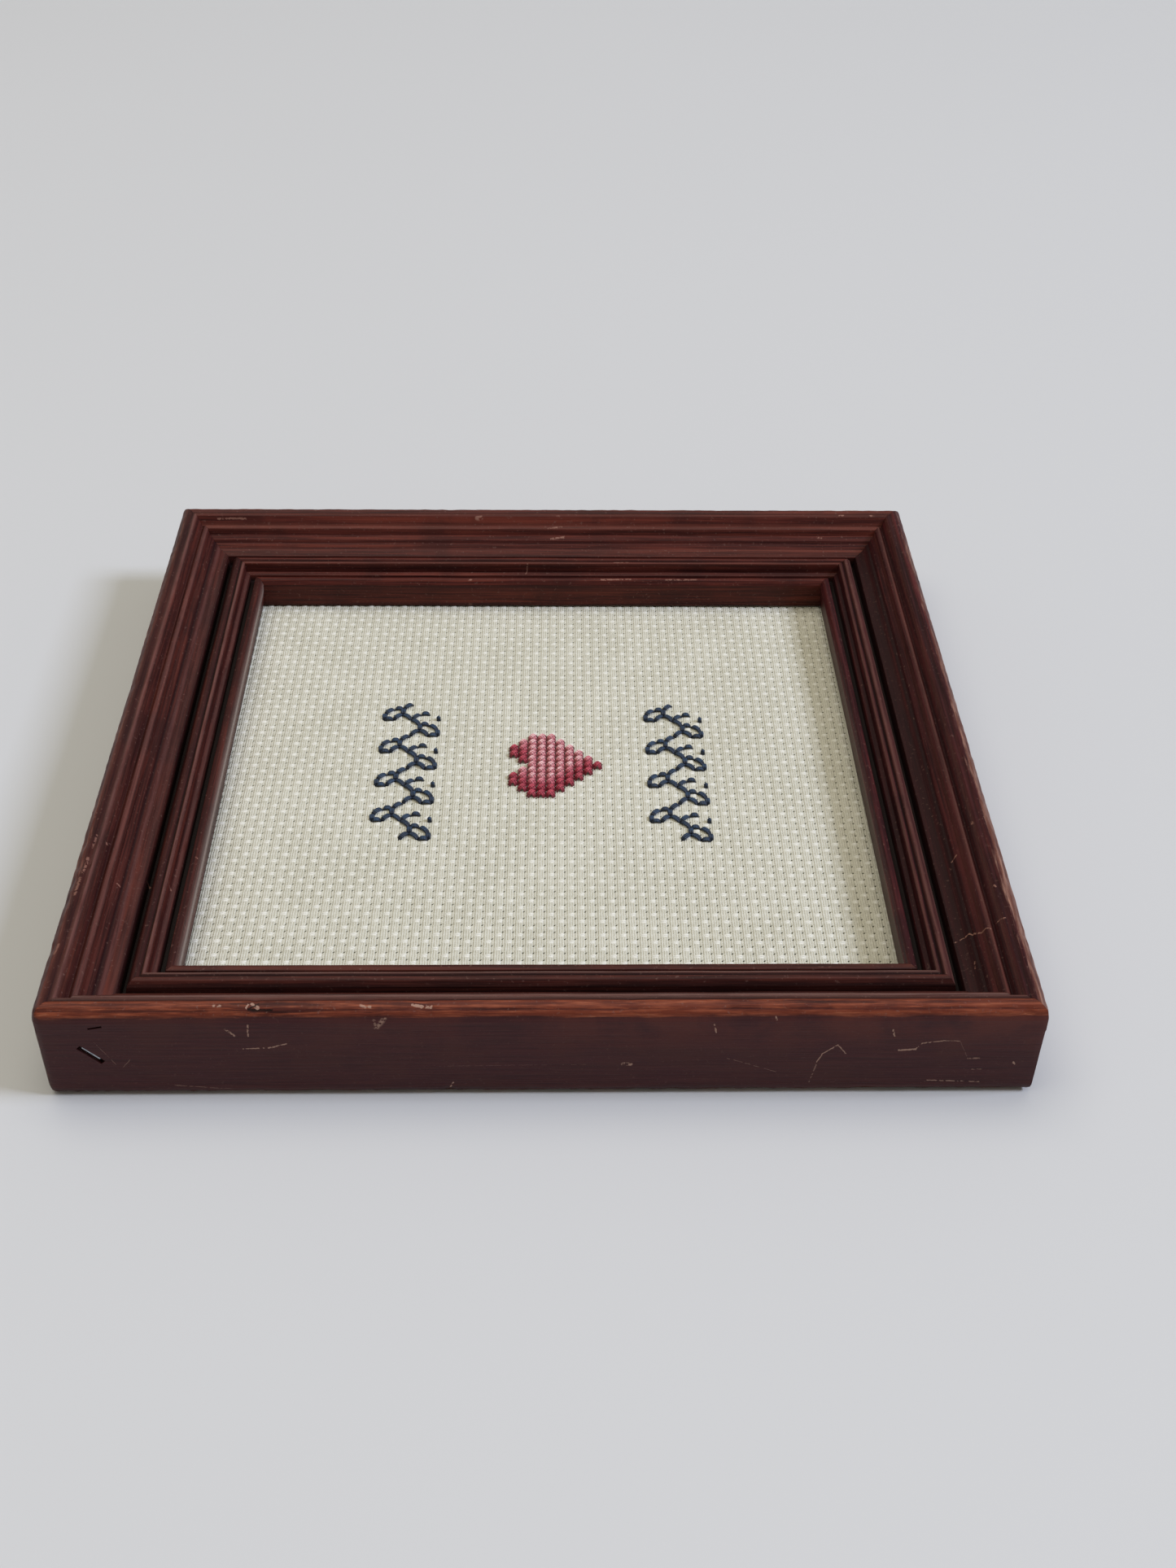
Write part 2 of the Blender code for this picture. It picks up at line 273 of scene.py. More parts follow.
# Marks on the top of each rail: two places (x, y), width in mm, strength
TOP_SCRATCHES = {
    "near": (((-28.5, -78.6), (-26.9, -78.8), 0.45, 0.6), ((-20.4, -78.5), (-17.5, -78.8), 0.40, 1.0),
             ((-45.6, -78.2), (-44.5, -78.8), 0.45, 1.0), ((-46.3, -79.0), (-45.9, -78.1), 0.25, 0.8),
             ((-51.4, -78.6), (-50.4, -78.6), 0.40, 0.6)),
    "right": (((69.4, -57.5), (71.6, -56.7), 0.22, 0.8), ((71.6, -56.7), (72.9, -57.8), 0.26, 0.9),
              ((72.9, -57.8), (74.5, -59.0), 0.22, 0.9), ((75.7, -57.9), (76.8, -58.3), 0.26, 0.9),
              ((71.9, -38.1), (72.8, -37.2), 0.26, 0.6), ((76.0, -31.8), (76.1, -32.4), 0.26, 0.8),
              ((76.6, -49.8), (76.7, -50.3), 0.28, 0.9), ((71.5, -63.3), (71.3, -64.8), 0.20, 0.5)),
    "far": (((-14.8, 76.1), (-13.5, 76.2), 0.50, 0.6), ((1.1, 73.9), (4.1, 74.4), 0.45, 0.5),
            ((1.8, 72.8), (4.8, 73.1), 0.34, 0.75), ((3.0, 76.5), (3.6, 76.4), 0.5, 0.35),
            ((-3.8, 64.3), (-3.4, 64.9), 0.26, 0.5), ((15.5, 65.25), (19.2, 65.3), 0.26, 0.45),
            ((12.7, 61.35), (19.1, 61.4), 0.36, 0.6), ((26.9, 61.35), (33.9, 61.4), 0.36, 0.5),
            ((-16.4, 61.3), (-15.6, 61.3), 0.40, 0.7), ((61.0, 73.2), (61.8, 73.1), 0.50, 0.6),
            ((66.0, 76.6), (66.8, 76.7), 0.50, 0.6), ((72.8, 76.6), (73.6, 76.7), 0.50, 0.6),
            ((-71.9, 76.0), (-65.6, 76.0), 0.25, 0.5)),
    "left": (((-77.7, -42.4), (-77.9, -46.5), 0.50, 0.6), ((-78.1, -47.6), (-78.1, -52.0), 0.55, 0.6),
             ((-78.3, -64.3), (-78.6, -66.4), 0.50, 0.55), ((-77.4, -36.0), (-77.6, -39.5), 0.40, 0.5),
             ((-75.8, -36.7), (-75.7, -37.0), 0.30, 0.9), ((-72.9, -44.6), (-72.5, -44.8), 0.28, 0.8),
             ((-68.8, -40.0), (-68.6, -40.2), 0.30, 1.0), ((-61.5, -33.3), (-61.3, -33.5), 0.30, 0.9),
             ((-64.7, -41.7), (-64.6, -41.9), 0.24, 0.9)),
}
CRACKS = (((-46.0, -79.05), (-42.3, -79.15), 0.16, 0.9), ((-45.8, -78.9), (-44.4, -78.2), 0.14, 0.8))

# The cloth and its weave
CLOTH_SIDE = 125.2 * MM
CLOTH_THICKNESS = 1.2 * MM
CLOTH_TURN = math.radians(-0.5)
PITCH = 1.8145 * MM
HOLE_PLACE = (45.86 * MM, -11.37 * MM)
HOLE_DEPTH = 0.50 * MM
SEAM_DEPTH = 0.03 * MM
SEAM_WIDTH = 0.15
FLOAT_HEIGHT = 0.22 * MM
BAR_HEIGHT = 0.11 * MM
# Where a float and a bar lie in their square: middle across and along, reach across and along
WEFT_FLOAT = (0.72, 0.50, 0.34, 0.27)
WARP_BAR = (0.50, 0.50, 0.24, 0.42)
# The cloth's grid lines in each square, as shares of the square
SAMPLES_ACROSS = (0.0, 0.145, 0.46, 0.72, 0.86)
SAMPLES_ALONG = (0.0, 0.16, 0.5, 0.83)
LINE_GUARD = 0.05 * MM
# Slack and lumps in the cloth: their size, how high they are, and their scale along X
SLACK = (24.0 * MM, 0.10 * MM, 1.0)
LUMPS = (2.2 * MM, 0.05 * MM, 1.0)
# How far the cloth's flat edge lies under the solid cloth's face, and how much thinner it is
EDGE_SUNK = 0.12 * MM
THINNER_BY = 0.2 * MM
# The border in which the weave fades to that flat edge
FLAT_BORDER = 1.0 * MM

# The heart's chart. The picture's upper edge is to -X, so a row runs along Y.
HEART_CHART = (
    "..xx...xx..",
    ".xxxx.xxxx.",
    "xxxxxxxxxxx",
    "xxxxxxxxxxx",
    "xxxxxxxxxxx",
    ".xxxxxxxxx.",
    "..xxxxxxx..",
    "...xxxxx...",
    "....xxx....",
    ".....x.....",
)
HEART_FIRST_SQUARE = (-4, -5)
# The legs of a cross: how far their ends stay off the holes, spacing, rise and width
LEG_INSET = 0.08
LEG_SPACING = 0.21 * MM
LOWER_LEG_RISE = 0.02 * MM
UPPER_LEG_RISE = 0.22 * MM
LEG_WIDTH = 0.50 * MM
LOOSENESS = 0.04 * MM

# One repeat of the vine, six squares long: stitches from hole to hole, (across, along)
VINE_REPEAT = 6
VINE_STITCHES = (
    ((0, 0), (1, 1)), ((1, 1), (1, 2)), ((1, 2), (0, 3)),
    ((0, 3), (-1, 4)), ((-1, 4), (-1, 5)), ((-1, 5), (0, 6)),
    ((1, 2), (2, 2)), ((2, 2), (3, 1)), ((3, 1), (3, 0)), ((3, 0), (2, 0)), ((2, 0), (1, 1)),
    ((-1, 5), (-2, 5)), ((-2, 5), (-3, 4)), ((-3, 4), (-3, 3)), ((-3, 3), (-2, 3)), ((-2, 3), (-1, 4)),
    ((0, 3), (1, 4)), ((1, 4), (2, 4)),
)
VINE_STRAND_SPACING = 0.20 * MM
VINE_RISE = 0.06 * MM
VINE_WIDTH = 0.60 * MM
VINE_KNOT = (3, 3)
KNOT_REACH = 0.45 * MM
KNOT_RISE = 0.12 * MM
KNOT_WIDTH = 0.85 * MM
# Each vine: its column, its first row and its repeats
VINE_ROWS = ((-15, -12, 4), (14, -12, 4))

# A strand's sides and cuts, the width of its tips, its height, and the shape of its curve
STRAND_SIDES = 7
STRAND_CUTS = 7
TIP_WIDTH = 0.62
FLATNESS = 0.8
BOW_POWER = 2.4
DIP_POWER = 4
# How high a strand bows and how deep its ends dip, in widths of the strand
CROSS_LEG = (1.30, 0.6)
BACKSTITCH = (0.5, 0.7)

# The scale of the grain and of the fibres along a rail, beside their scale across it
LONG_GRAIN = 0.02
SHORT_GRAIN = 0.065
# The stain of the rails, what lies on it or shows through it, and the painted shade and painted highlights
# on it
STAIN_DEEP = (0.029, 0.0060, 0.0050)
STAIN_RED = (0.074, 0.0155, 0.0108)
STAIN_STREAK = (0.122, 0.0265, 0.0160)
STAIN_PATCH = (0.028, 0.0068, 0.0060)
FACE_DEEP = (0.040, 0.0104, 0.0118)
FACE_PALE = (0.066, 0.0172, 0.0188)
FACE_FIBRE = (0.090, 0.030, 0.023)
FACE_CLOUD = (0.068, 0.0205, 0.0165)
FACE_RED = (0.105, 0.0255, 0.0195)
REDDER_HEIGHTS = (8.0 * MM, 17.0 * MM)
REDDER_PLACES = (-95.0 * MM, 60.0 * MM)
PAINTED_SHADE_COLOUR = (0.019, 0.0048, 0.0056)
LIP_HIGHLIGHT_COLOUR = (0.31, 0.225, 0.195)
CHIP_COLOUR = (0.36, 0.16, 0.09)
DUST_COLOUR = (0.19, 0.100, 0.080)
GRIME_AND_SHADE_COLOUR = (0.0060, 0.0034, 0.0034)
CRACK_COLOUR = (0.012, 0.004, 0.003)
MARK_SHAKE = (0.45 * MM, 0.14 * MM)

# The cloth's cotton, with a painted highlight on the raised floats and painted shade between the threads
# and in the holes
IVORY_SHADED = (0.575, 0.55, 0.435)
IVORY_PLAIN = (0.645, 0.62, 0.505)
IVORY_FLOAT_HIGHLIGHT = (0.90, 0.88, 0.79)
IVORY_FUZZ = (0.88, 0.86, 0.77)
SHADE_BETWEEN_THREADS = (0.36, 0.34, 0.26)
HOLE_SHADE = (0.075, 0.075, 0.045)

# The threads, each from dark to light, and the pitch of their twist
HEART_THREADS = {
    "pink": ((0.52, 0.15, 0.17), (0.94, 0.62, 0.60)),
    "rose": ((0.42, 0.070, 0.095), (0.78, 0.28, 0.31)),
    "crimson": ((0.27, 0.015, 0.032), (0.58, 0.072, 0.105)),
}
NAVY_THREAD = ((0.003, 0.011, 0.030), (0.013, 0.048, 0.110))
DEEP_SHADE = 0.55
TWIST_PITCH = 0.42 * MM

# The board's card, the staple's steel and the floor, each from dark to light
CARD_COLOURS = ((0.22, 0.165, 0.11), (0.34, 0.26, 0.18))
CARD_CLOUD = (0.18, 0.13, 0.085)
STEEL_COLOURS = ((0.30, 0.32, 0.36), (0.52, 0.55, 0.60))
FLOOR_COLOURS = ((0.615, 0.617, 0.62), (0.635, 0.637, 0.64))
FLOOR_SIZE = 12.0

# The camera: above the near side, looking down at the picture, turned slightly
CAMERA_PLACE = (0.0002, -0.2934, 0.2272)
CAMERA_HEADING = math.radians(-1.6735)
CAMERA_DOWN = math.radians(37.43)
CAMERA_ROLL = math.radians(0.98)
CAMERA_LENS = 43.506
FILM_HEIGHT = 36.0

# The lights: place, size, watts and colour
WINDOW_LIGHT = ((3.42, -0.40, 3.09), 1.25, 152.0, (0.71, 0.785, 1.0))
CEILING_LIGHT = ((-0.3, 0.15, 2.1), 2.0, 24.0, (1.0, 0.955, 0.84))
ROOM_COLOUR = (1.0, 0.955, 0.84, 1.0)
ROOM_STRENGTH = 0.27


def deselect_all():
    if bpy.context.object and bpy.context.object.mode != "OBJECT":
        bpy.ops.object.mode_set(mode="OBJECT")
    bpy.ops.object.select_all(action="DESELECT")


def start_edit(piece, mode):
    """Opens a piece in edit mode, with nothing in it selected."""
    deselect_all()
    piece.select_set(True)
    bpy.context.view_layer.objects.active = piece
    bpy.ops.object.mode_set(mode="EDIT")
    bpy.context.tool_settings.mesh_select_mode = (mode == "VERT", mode == "EDGE", mode == "FACE")
    bpy.ops.mesh.select_all(action="DESELECT")


def end_edit():
    bpy.ops.object.mode_set(mode="OBJECT")


def select_edges(piece, chosen):
    """Selects the edges of the piece in edit mode for which chosen(start, end) is true."""
    shape = bmesh.from_edit_mesh(piece.data)
    for edge in shape.edges:
        if chosen(edge.verts[0].co, edge.verts[1].co):
            edge.select_set(True)
    bmesh.update_edit_mesh(piece.data)


def take_new(name):
    """Names the primitive or copy that was just made, and its mesh."""
    piece = bpy.context.active_object
    piece.name = name
    piece.data.name = name
    return piece


def rounded_corner(before, corner, after, radius, steps):
    """The points of an arc that is tangent to both sides of a corner."""
    if radius <= 0.0:
        return [corner]
    to_before = before - corner
    to_after = after - corner
    half_angle = to_before.angle(to_after) / 2
    tangent = radius / math.tan(half_angle)
    longest = 0.45 * min(to_before.length, to_after.length)
    if tangent > longest:
        tangent = longest
        radius = tangent * math.tan(half_angle)
    bisector = (to_before.normalized() + to_after.normalized()).normalized()
    centre = corner + bisector * radius / math.sin(half_angle)
    start = corner + to_before.normalized() * tangent - centre
    end = corner + to_after.normalized() * tangent - centre
    turn = start.angle_signed(end)
    return [centre + Matrix.Rotation(-turn * step / steps, 2) @ start for step in range(steps + 1)]


def member_place(member):
    """A moulding member's place in the section: distance from the centre, and height."""
    out, up = MOULDING[member][:2]
    return Vector((SIGHT_HALF + out * MM, CLOTH_FACE + up * MM))


def section_outline():
    """The rail's section as an even run of points, round its corners and along its flats."""
    corners = [(member_place(member), MOULDING[member][2] * MM) for member in MOULDING]
    rebate = SIGHT_HALF + REBATE_WIDTH
    corners.append((Vector((FRAME_HALF - FACE_TAPER, 0.0)), BACK_ROUNDING))
    corners.append((Vector((rebate, 0.0)), 0.0))
    corners.append((Vector((rebate, CLOTH_FACE + LIP_CLEARANCE)), 0.0))
    bends = []
    for index, (corner, radius) in enumerate(corners):
        before = corners[index - 1][0]
        after = corners[(index + 1) % len(corners)][0]
        bends.extend(rounded_corner(before, corner, after, radius, ARC_STEPS))
    outline = []
    for index, point in enumerate(bends):
        after = bends[(index + 1) % len(bends)]
        step = FINE_STEP if point.y > MOULDED_FROM else LONGEST_STEP
        pieces = max(1, math.ceil((after - point).length / step))
        outline.extend(point.lerp(after, part / pieces) for part in range(pieces))
    return outline


def plain_rail():
    """The near rail: the section drawn on a circle's points, extruded, mitred and divided."""
    outline = section_outline()
    deselect_all()
    bpy.ops.mesh.primitive_circle_add(
        vertices=len(outline), radius=10 * MM, fill_type="NGON", location=(0.0, 0.0, 0.0))
    rail = take_new("plain rail")
    for vertex, place in zip(rail.data.vertices, outline):
        vertex.co = (-FRAME_HALF, -place.x, place.y)
    start_edit(rail, "FACE")
    bpy.ops.mesh.select_all(action="SELECT")
    bpy.ops.mesh.extrude_region_move(TRANSFORM_OT_translate={"value": (2 * FRAME_HALF, 0.0, 0.0)})
    for side in (-1.0, 1.0):
        bpy.ops.mesh.select_all(action="SELECT")
        bpy.ops.mesh.bisect(
            plane_co=(0.0, -MITRE_GAP / 2, 0.0), plane_no=(side, 1.0, 0.0),
            use_fill=True, clear_outer=True)
    bpy.context.tool_settings.mesh_select_mode = (False, True, False)
    for cuts in RAIL_CUTS:
        bpy.ops.mesh.select_all(action="DESELECT")
        select_edges(rail, lambda a, b: abs(a.x - b.x) > 0.999 * (a - b).length)
        bpy.ops.mesh.subdivide(number_cuts=cuts)
    bpy.ops.mesh.select_all(action="SELECT")
    bpy.ops.mesh.normals_make_consistent(inside=False)
    end_edit()
    return rail


def round_corners(rail, side):
    """Rubs the frame's outer corners round, the same on both sides of each mitre."""
    for vertex in rail.data.vertices:
        radius = CORNER_ROUNDINGS[side][0 if vertex.co.x < 0.0 else 1]
        start = FRAME_HALF - radius
        along = abs(vertex.co.x)
        out = -vertex.co.y
        if along <= start:
            continue
        share = min(1.0, max(0.0, (out - start) / radius + ROUNDING_EASE))
        new_along = start + (along - start) * (1.0 - ARC_INSET * share)
        sink = radius - math.sqrt(max(0.0, radius ** 2 - (new_along - start) ** 2))
        new_out = out - sink * share
        if along > out - MITRE_GAP:
            new_out = new_along + MITRE_GAP / 2
        vertex.co.x = math.copysign(new_along, vertex.co.x)
        vertex.co.y = -new_out


def section_nearness(distance, height, members):
    """How near points of the section are to the named members, from 0 to 1."""
    total = np.zeros(len(distance))
    for member, (reach, strength) in members.items():
        place = member_place(member)
        gap = ((distance - place.x) ** 2 + (height - place.y) ** 2) / reach ** 2
        total = np.maximum(total, strength * np.exp(-gap))
    return total


def band_nearness(distance, height, bands):
    """How near points of the section are to bands given by place, from 0 to 1."""
    total = np.zeros(len(distance))
    for out, up, reach, strength in bands:
        gap = (distance - SIGHT_HALF - out * MM) ** 2 + (height - CLOTH_FACE - up * MM) ** 2
        total = np.maximum(total, strength * np.exp(-gap / (reach * MM) ** 2))
    return total


def noise_field(points, lumps, seed):
    """Smooth noise at each point; lumps holds their size, their height and their scale along X."""
    size, height, scale_x = lumps
    shift = Vector((seed * 3.17, seed * 7.31, seed * 1.93))
    stretched = points * np.array([scale_x, 1.0, 1.0])
    return np.array([noise.noise(Vector(point) / size + shift) for point in stretched]) * height


def set_attribute(mesh, name, values):
    layer = mesh.attributes.new(name, "FLOAT", "POINT")
    layer.data.foreach_set("value", np.asarray(values, dtype=np.float32))


def points_of(mesh):
    points = np.empty(3 * len(mesh.vertices))
    mesh.vertices.foreach_get("co", points)
    return points.reshape(-1, 3)


def normals_of(mesh):
    normals = np.empty(3 * len(mesh.vertices))
    mesh.vertices.foreach_get("normal", normals)
    return normals.reshape(-1, 3)


def press_dents(points, side):
    """How far each point is pushed in by the rail's dents."""
    pushed = np.zeros(len(points))
    for place, height, length, depth in DENTS[side]:
        gap = ((points[:, 0] / MM - place) / (length / 2)) ** 2
        gap += ((points[:, 2] / MM - height) / DENT_REACH) ** 2
        outer = points[:, 1] < -(FRAME_HALF - DENTED_WIDTH)
        pushed = np.maximum(pushed, depth * MM * np.exp(-gap) * outer)
    return pushed


def cut_slot(rail, place, slant, size):
    """Cuts a slanted slot into the near rail's outer face."""
    deselect_all()
    bpy.ops.mesh.primitive_cube_add(
        size=1.0, location=(place[0], -FRAME_HALF, place[1]), rotation=(0.0, -slant, 0.0))
    cutter = bpy.context.active_object
    cutter.scale = size
    deselect_all()
    rail.select_set(True)
    bpy.context.view_layer.objects.active = rail
    cut = rail.modifiers.new("slot", "BOOLEAN")
    cut.operation = "DIFFERENCE"
    cut.solver = "EXACT"
    cut.object = cutter
    bpy.ops.object.modifier_apply(modifier=cut.name)
    bpy.data.objects.remove(cutter, do_unlink=True)


def weather_rail(rail, side, seed):
    """Uneven sanding, dents and softened worn edges, and the masks that its stain follows."""
    mesh = rail.data
    points = points_of(mesh)
    distance = -points[:, 1]
    height = points[:, 2]
    wear = section_nearness(distance, height, WORN_MEMBERS)
    end_gap = distance - np.abs(points[:, 0])
    open_surface = np.clip(end_gap / MITRE_GUARD, 0.0, 1.0) * (height > BACK_GUARD)
    ripple = noise_field(points, RIPPLE, seed)
    nibble = noise_field(points, NIBBLE, seed + 11) * wear
    foot = np.exp(-((height / FOOT_NIBBLE_REACH) ** 2)) * (distance > FRAME_HALF - FOOT_WIDTH)
    nibble -= np.abs(noise_field(points, FOOT_NIBBLE, seed + 5)) * foot
    inward = ripple + nibble - press_dents(points, side)
    moved = points + normals_of(mesh) * (inward * open_surface)[:, None]
    mesh.vertices.foreach_set("co", moved.ravel())
    mesh.update()
    if side == "near":
        cut_slot(rail, STAPLE_PLACE, STAPLE_SLANT, STAPLE_SLOT)
        cut_slot(rail, SLIT_PLACE, SLIT_SLANT, SLIT_SLOT)
    mark_surfaces(rail.data, side)


def slot_walls(points):
    """Which points lie on the walls of the near rail's slots, behind its face."""
    distance = -points[:, 1]
    height = points[:, 2]
    behind_face = (distance < FRAME_HALF - FACE_DEPTH) & (distance > FRAME_HALF - SLOTTED_DEPTH)
    between = (height > SLOTTED_HEIGHTS[0]) & (height < SLOTTED_HEIGHTS[1])
    return behind_face & between & (np.abs(points[:, 0]) < SLOTTED_HALF)


def mark_surfaces(mesh, side):
    """Attributes for the stain: worn edges, grime and painted shade in the hollows, the outer face, and
    the bands of painted highlight and shade.
    """
    points = points_of(mesh)
    distance = -points[:, 1]
    height = points[:, 2]
    places, shares = zip(*RUBBED_ALONG[side])
    rubbed_here = np.interp(points[:, 0] / MM, places, shares)
    wear = section_nearness(distance, height, WORN_MEMBERS) * rubbed_here
    if side == "near":
        wear = np.maximum(wear, section_nearness(distance, height, WORN_NEAR))
    reach, strength = RUBBED_FOOT
    foot = strength * np.exp(-(height / reach) ** 2) * (distance > FRAME_HALF - FOOT_WIDTH)
    wear = np.maximum(wear, foot)
    grimy_shaded = GRIMY_SHADED_RIGHT if side == "right" else GRIMY_SHADED_MEMBERS
    # The slots' walls are painted fully dark, as painted shade inside the slots; elsewhere the hollows get
    # grime and painted shade.
    grime_and_shade = np.where(slot_walls(points), 1.0, section_nearness(distance, height, grimy_shaded))
    face = np.clip((distance - FRAME_HALF + FACE_DEPTH) / FACE_EDGE_FADE, 0.0, 1.0)
    face *= np.clip((FACE_TOP - height) / FACE_TOP_FADE, 0.0, 1.0)
    set_attribute(mesh, "wear", wear)
    set_attribute(mesh, "grime_and_shade", grime_and_shade)
    set_attribute(mesh, "face", face)
    for name, bands in (("light", PAINTED_HIGHLIGHT_BANDS), ("dark", PAINTED_SHADE_BANDS), ("lip_highlight", LIP_HIGHLIGHT_BANDS)):
        set_attribute(mesh, name, band_nearness(distance, height, bands[side]))


def own_copy(source, name):
    """A copy of the plain rail with its own mesh."""
    deselect_all()
    source.select_set(True)
    bpy.context.view_layer.objects.active = source
    bpy.ops.object.duplicate()
    return take_new(name)


def smooth(piece, degrees):
    """Smooth shading where neighbouring faces meet at less than this many degrees."""
    deselect_all()
    piece.select_set(True)
    bpy.context.view_layer.objects.active = piece
    bpy.ops.object.shade_smooth_by_angle(angle=math.radians(degrees))


def add_rails():
    """The four rails: copies of the near one, each with its own corners and wear, turned round."""
    base = plain_rail()
    rails = {}
    for quarter, side in enumerate(("near", "right", "far", "left")):
        rail = own_copy(base, f"moulded_rail_{side}")
        round_corners(rail, side)
        weather_rail(rail, side, quarter + 1)
        rail.data.transform(Matrix.Rotation(quarter * math.pi / 2, 4, "Z"))
        rail.data.update()
        smooth(rail, RAIL_SMOOTH)
        rails[side] = rail
    bpy.data.objects.remove(base, do_unlink=True)
    return rails


def on_top(across, along, spot):
    """How near a place in its square is to the middle of a float or bar, from 0 to 1."""
    middle_across, middle_along, reach_across, reach_along = spot
    gap = ((across - middle_across) / reach_across) ** 2 + ((along - middle_along) / reach_along) ** 2
    return np.exp(-gap)


def weave_floats(u, v):
    """Where weft floats and warp bars lie on top, u and v in squares, as on a chessboard."""
    across = u - np.floor(u)
    along = v - np.floor(v)
    weft_square = (np.floor(u) + np.floor(v)) % 2 < 0.5
    weft = on_top(across, along, WEFT_FLOAT) * weft_square
    bar = on_top(across, along, WARP_BAR) * ~weft_square
    return weft, bar


def weave_pits(u, v):
    """How deep each point is in a hole, from 0 to 1."""
    gap_across = np.abs(u - np.round(u)) / SAMPLES_ACROSS[1]
    gap_along = np.abs(v - np.round(v)) / SAMPLES_ALONG[1]
    return np.clip(1.0 - np.hypot(gap_across, gap_along), 0.0, 1.0)


def weave_height(u, v):
    """The cloth's height: deep holes, seams between the warp columns, floats and bars on top."""
    weft, bar = weave_floats(u, v)
    seam = np.exp(-((u - np.round(u)) / SEAM_WIDTH) ** 2)
    fold = np.exp(-((v - np.round(v)) / SEAM_WIDTH) ** 2)
    return (FLOAT_HEIGHT * weft + BAR_HEIGHT * bar - SEAM_DEPTH * seam - 0.5 * SEAM_DEPTH * fold
            - HOLE_DEPTH * weave_pits(u, v))


def grid_lines(offset, shares):
    """Line places along one side of the cloth, from edge to edge, in its own frame."""
    half = CLOTH_SIDE / 2
    first = math.floor((-half - offset) / PITCH) - 1
    last = math.ceil((half - offset) / PITCH) + 1
    lines = [-half]
    for square in range(first, last):
        for share in shares:
            place = offset + (square + share) * PITCH
            if abs(place) < half - LINE_GUARD:
                lines.append(place)
    lines.append(half)
    return lines


def cloth_offset():
    """The hole nearest the middle, in the cloth's own turned frame."""
    hole = Matrix.Rotation(-CLOTH_TURN, 2) @ Vector(HOLE_PLACE)
    return hole.x % PITCH, hole.y % PITCH


def add_cloth():
    """The cloth: a fine grid, moved to the weave's lines and heights, with a plain back."""
    offset_x, offset_y = cloth_offset()
    lines_x = grid_lines(offset_x, SAMPLES_ACROSS)
    lines_y = grid_lines(offset_y, SAMPLES_ALONG)
    deselect_all()
    bpy.ops.mesh.primitive_grid_add(
        x_subdivisions=len(lines_x) - 1, y_subdivisions=len(lines_y) - 1,
        size=CLOTH_SIDE, location=(0.0, 0.0, 0.0))
    cloth = take_new("woven_cloth")
    mesh = cloth.data
    points = points_of(mesh)
    column = np.rint((points[:, 0] / CLOTH_SIDE + 0.5) * (len(lines_x) - 1)).astype(int)
    row = np.rint((points[:, 1] / CLOTH_SIDE + 0.5) * (len(lines_y) - 1)).astype(int)
    x = np.array(lines_x)[column]
    y = np.array(lines_y)[row]
    u = (x - offset_x) / PITCH
    v = (y - offset_y) / PITCH
    height = weave_height(u, v)
    flat = np.stack([x, y, np.zeros_like(x)], axis=1)
    slack = noise_field(flat, SLACK, 5)
    lump = noise_field(flat, LUMPS, 9)
    edge_gap = CLOTH_SIDE / 2 - np.maximum(np.abs(x), np.abs(y))
    border = np.clip(edge_gap / FLAT_BORDER, 0.0, 1.0)
    z = CLOTH_FACE - EDGE_SUNK + (height + slack + lump) * border
    mesh.vertices.foreach_set("co", np.stack([x, y, z], axis=1).ravel())
    mesh.update()
    weft, bar = weave_floats(u, v)
    set_attribute(mesh, "pit", weave_pits(u, v))
    set_attribute(mesh, "weft", weft)
    set_attribute(mesh, "bar", bar)
    start_edit(cloth, "EDGE")
    bpy.ops.mesh.select_non_manifold()
    bpy.ops.mesh.extrude_region_move(
        TRANSFORM_OT_translate={"value": (0.0, 0.0, -CLOTH_THICKNESS + THINNER_BY)})
    bpy.ops.mesh.edge_face_add()
    bpy.ops.mesh.select_all(action="SELECT")
    bpy.ops.mesh.normals_make_consistent(inside=False)
    end_edit()
    mesh.transform(Matrix.Rotation(CLOTH_TURN, 4, "Z"))
    smooth(cloth, CLOTH_SMOOTH)
    return cloth


def hole(column, row):
    """The place of a hole of the weave, counted from the hole nearest the middle."""
    offset_x, offset_y = cloth_offset()
    flat = Vector((offset_x + column * PITCH, offset_y + row * PITCH))
    place = Matrix.Rotation(CLOTH_TURN, 2) @ flat
    return Vector((place.x, place.y, CLOTH_FACE))


def plain_strand(name, arch, dip):
    """One strand of a stitch, of unit length along X: it dips into the cloth at both ends."""
    deselect_all()
    bpy.ops.mesh.primitive_cylinder_add(
        vertices=STRAND_SIDES, radius=0.5, depth=1.0, rotation=(0.0, math.pi / 2, 0.0))
    bpy.ops.object.transform_apply(location=True, rotation=True, scale=True)
    strand = take_new(name)
    start_edit(strand, "EDGE")
    select_edges(strand, lambda a, b: abs(a.x - b.x) > 0.5)
    bpy.ops.mesh.subdivide(number_cuts=STRAND_CUTS)
    end_edit()
    mesh = strand.data
    lit_shares = []
    for vertex in mesh.vertices:
        along = vertex.co.x
        # A share painted on each point: 1 on the strand's top middle, less towards its ends and underside;
        # the thread is darkened by it as painted shade.
        lit_shares.append((1.0 - (2.0 * along) ** 2) * (0.70 + 0.60 * vertex.co.z))
        bow = 1.0 - (2.0 * abs(along)) ** BOW_POWER
        width = TIP_WIDTH + (1.0 - TIP_WIDTH) * math.sqrt(max(0.0, bow))
        rise = arch * bow - dip * (2.0 * abs(along)) ** DIP_POWER
        vertex.co = (along, vertex.co.y * width, vertex.co.z * width * FLATNESS + rise)
    set_attribute(mesh, "lit_share", lit_shares)
    return strand


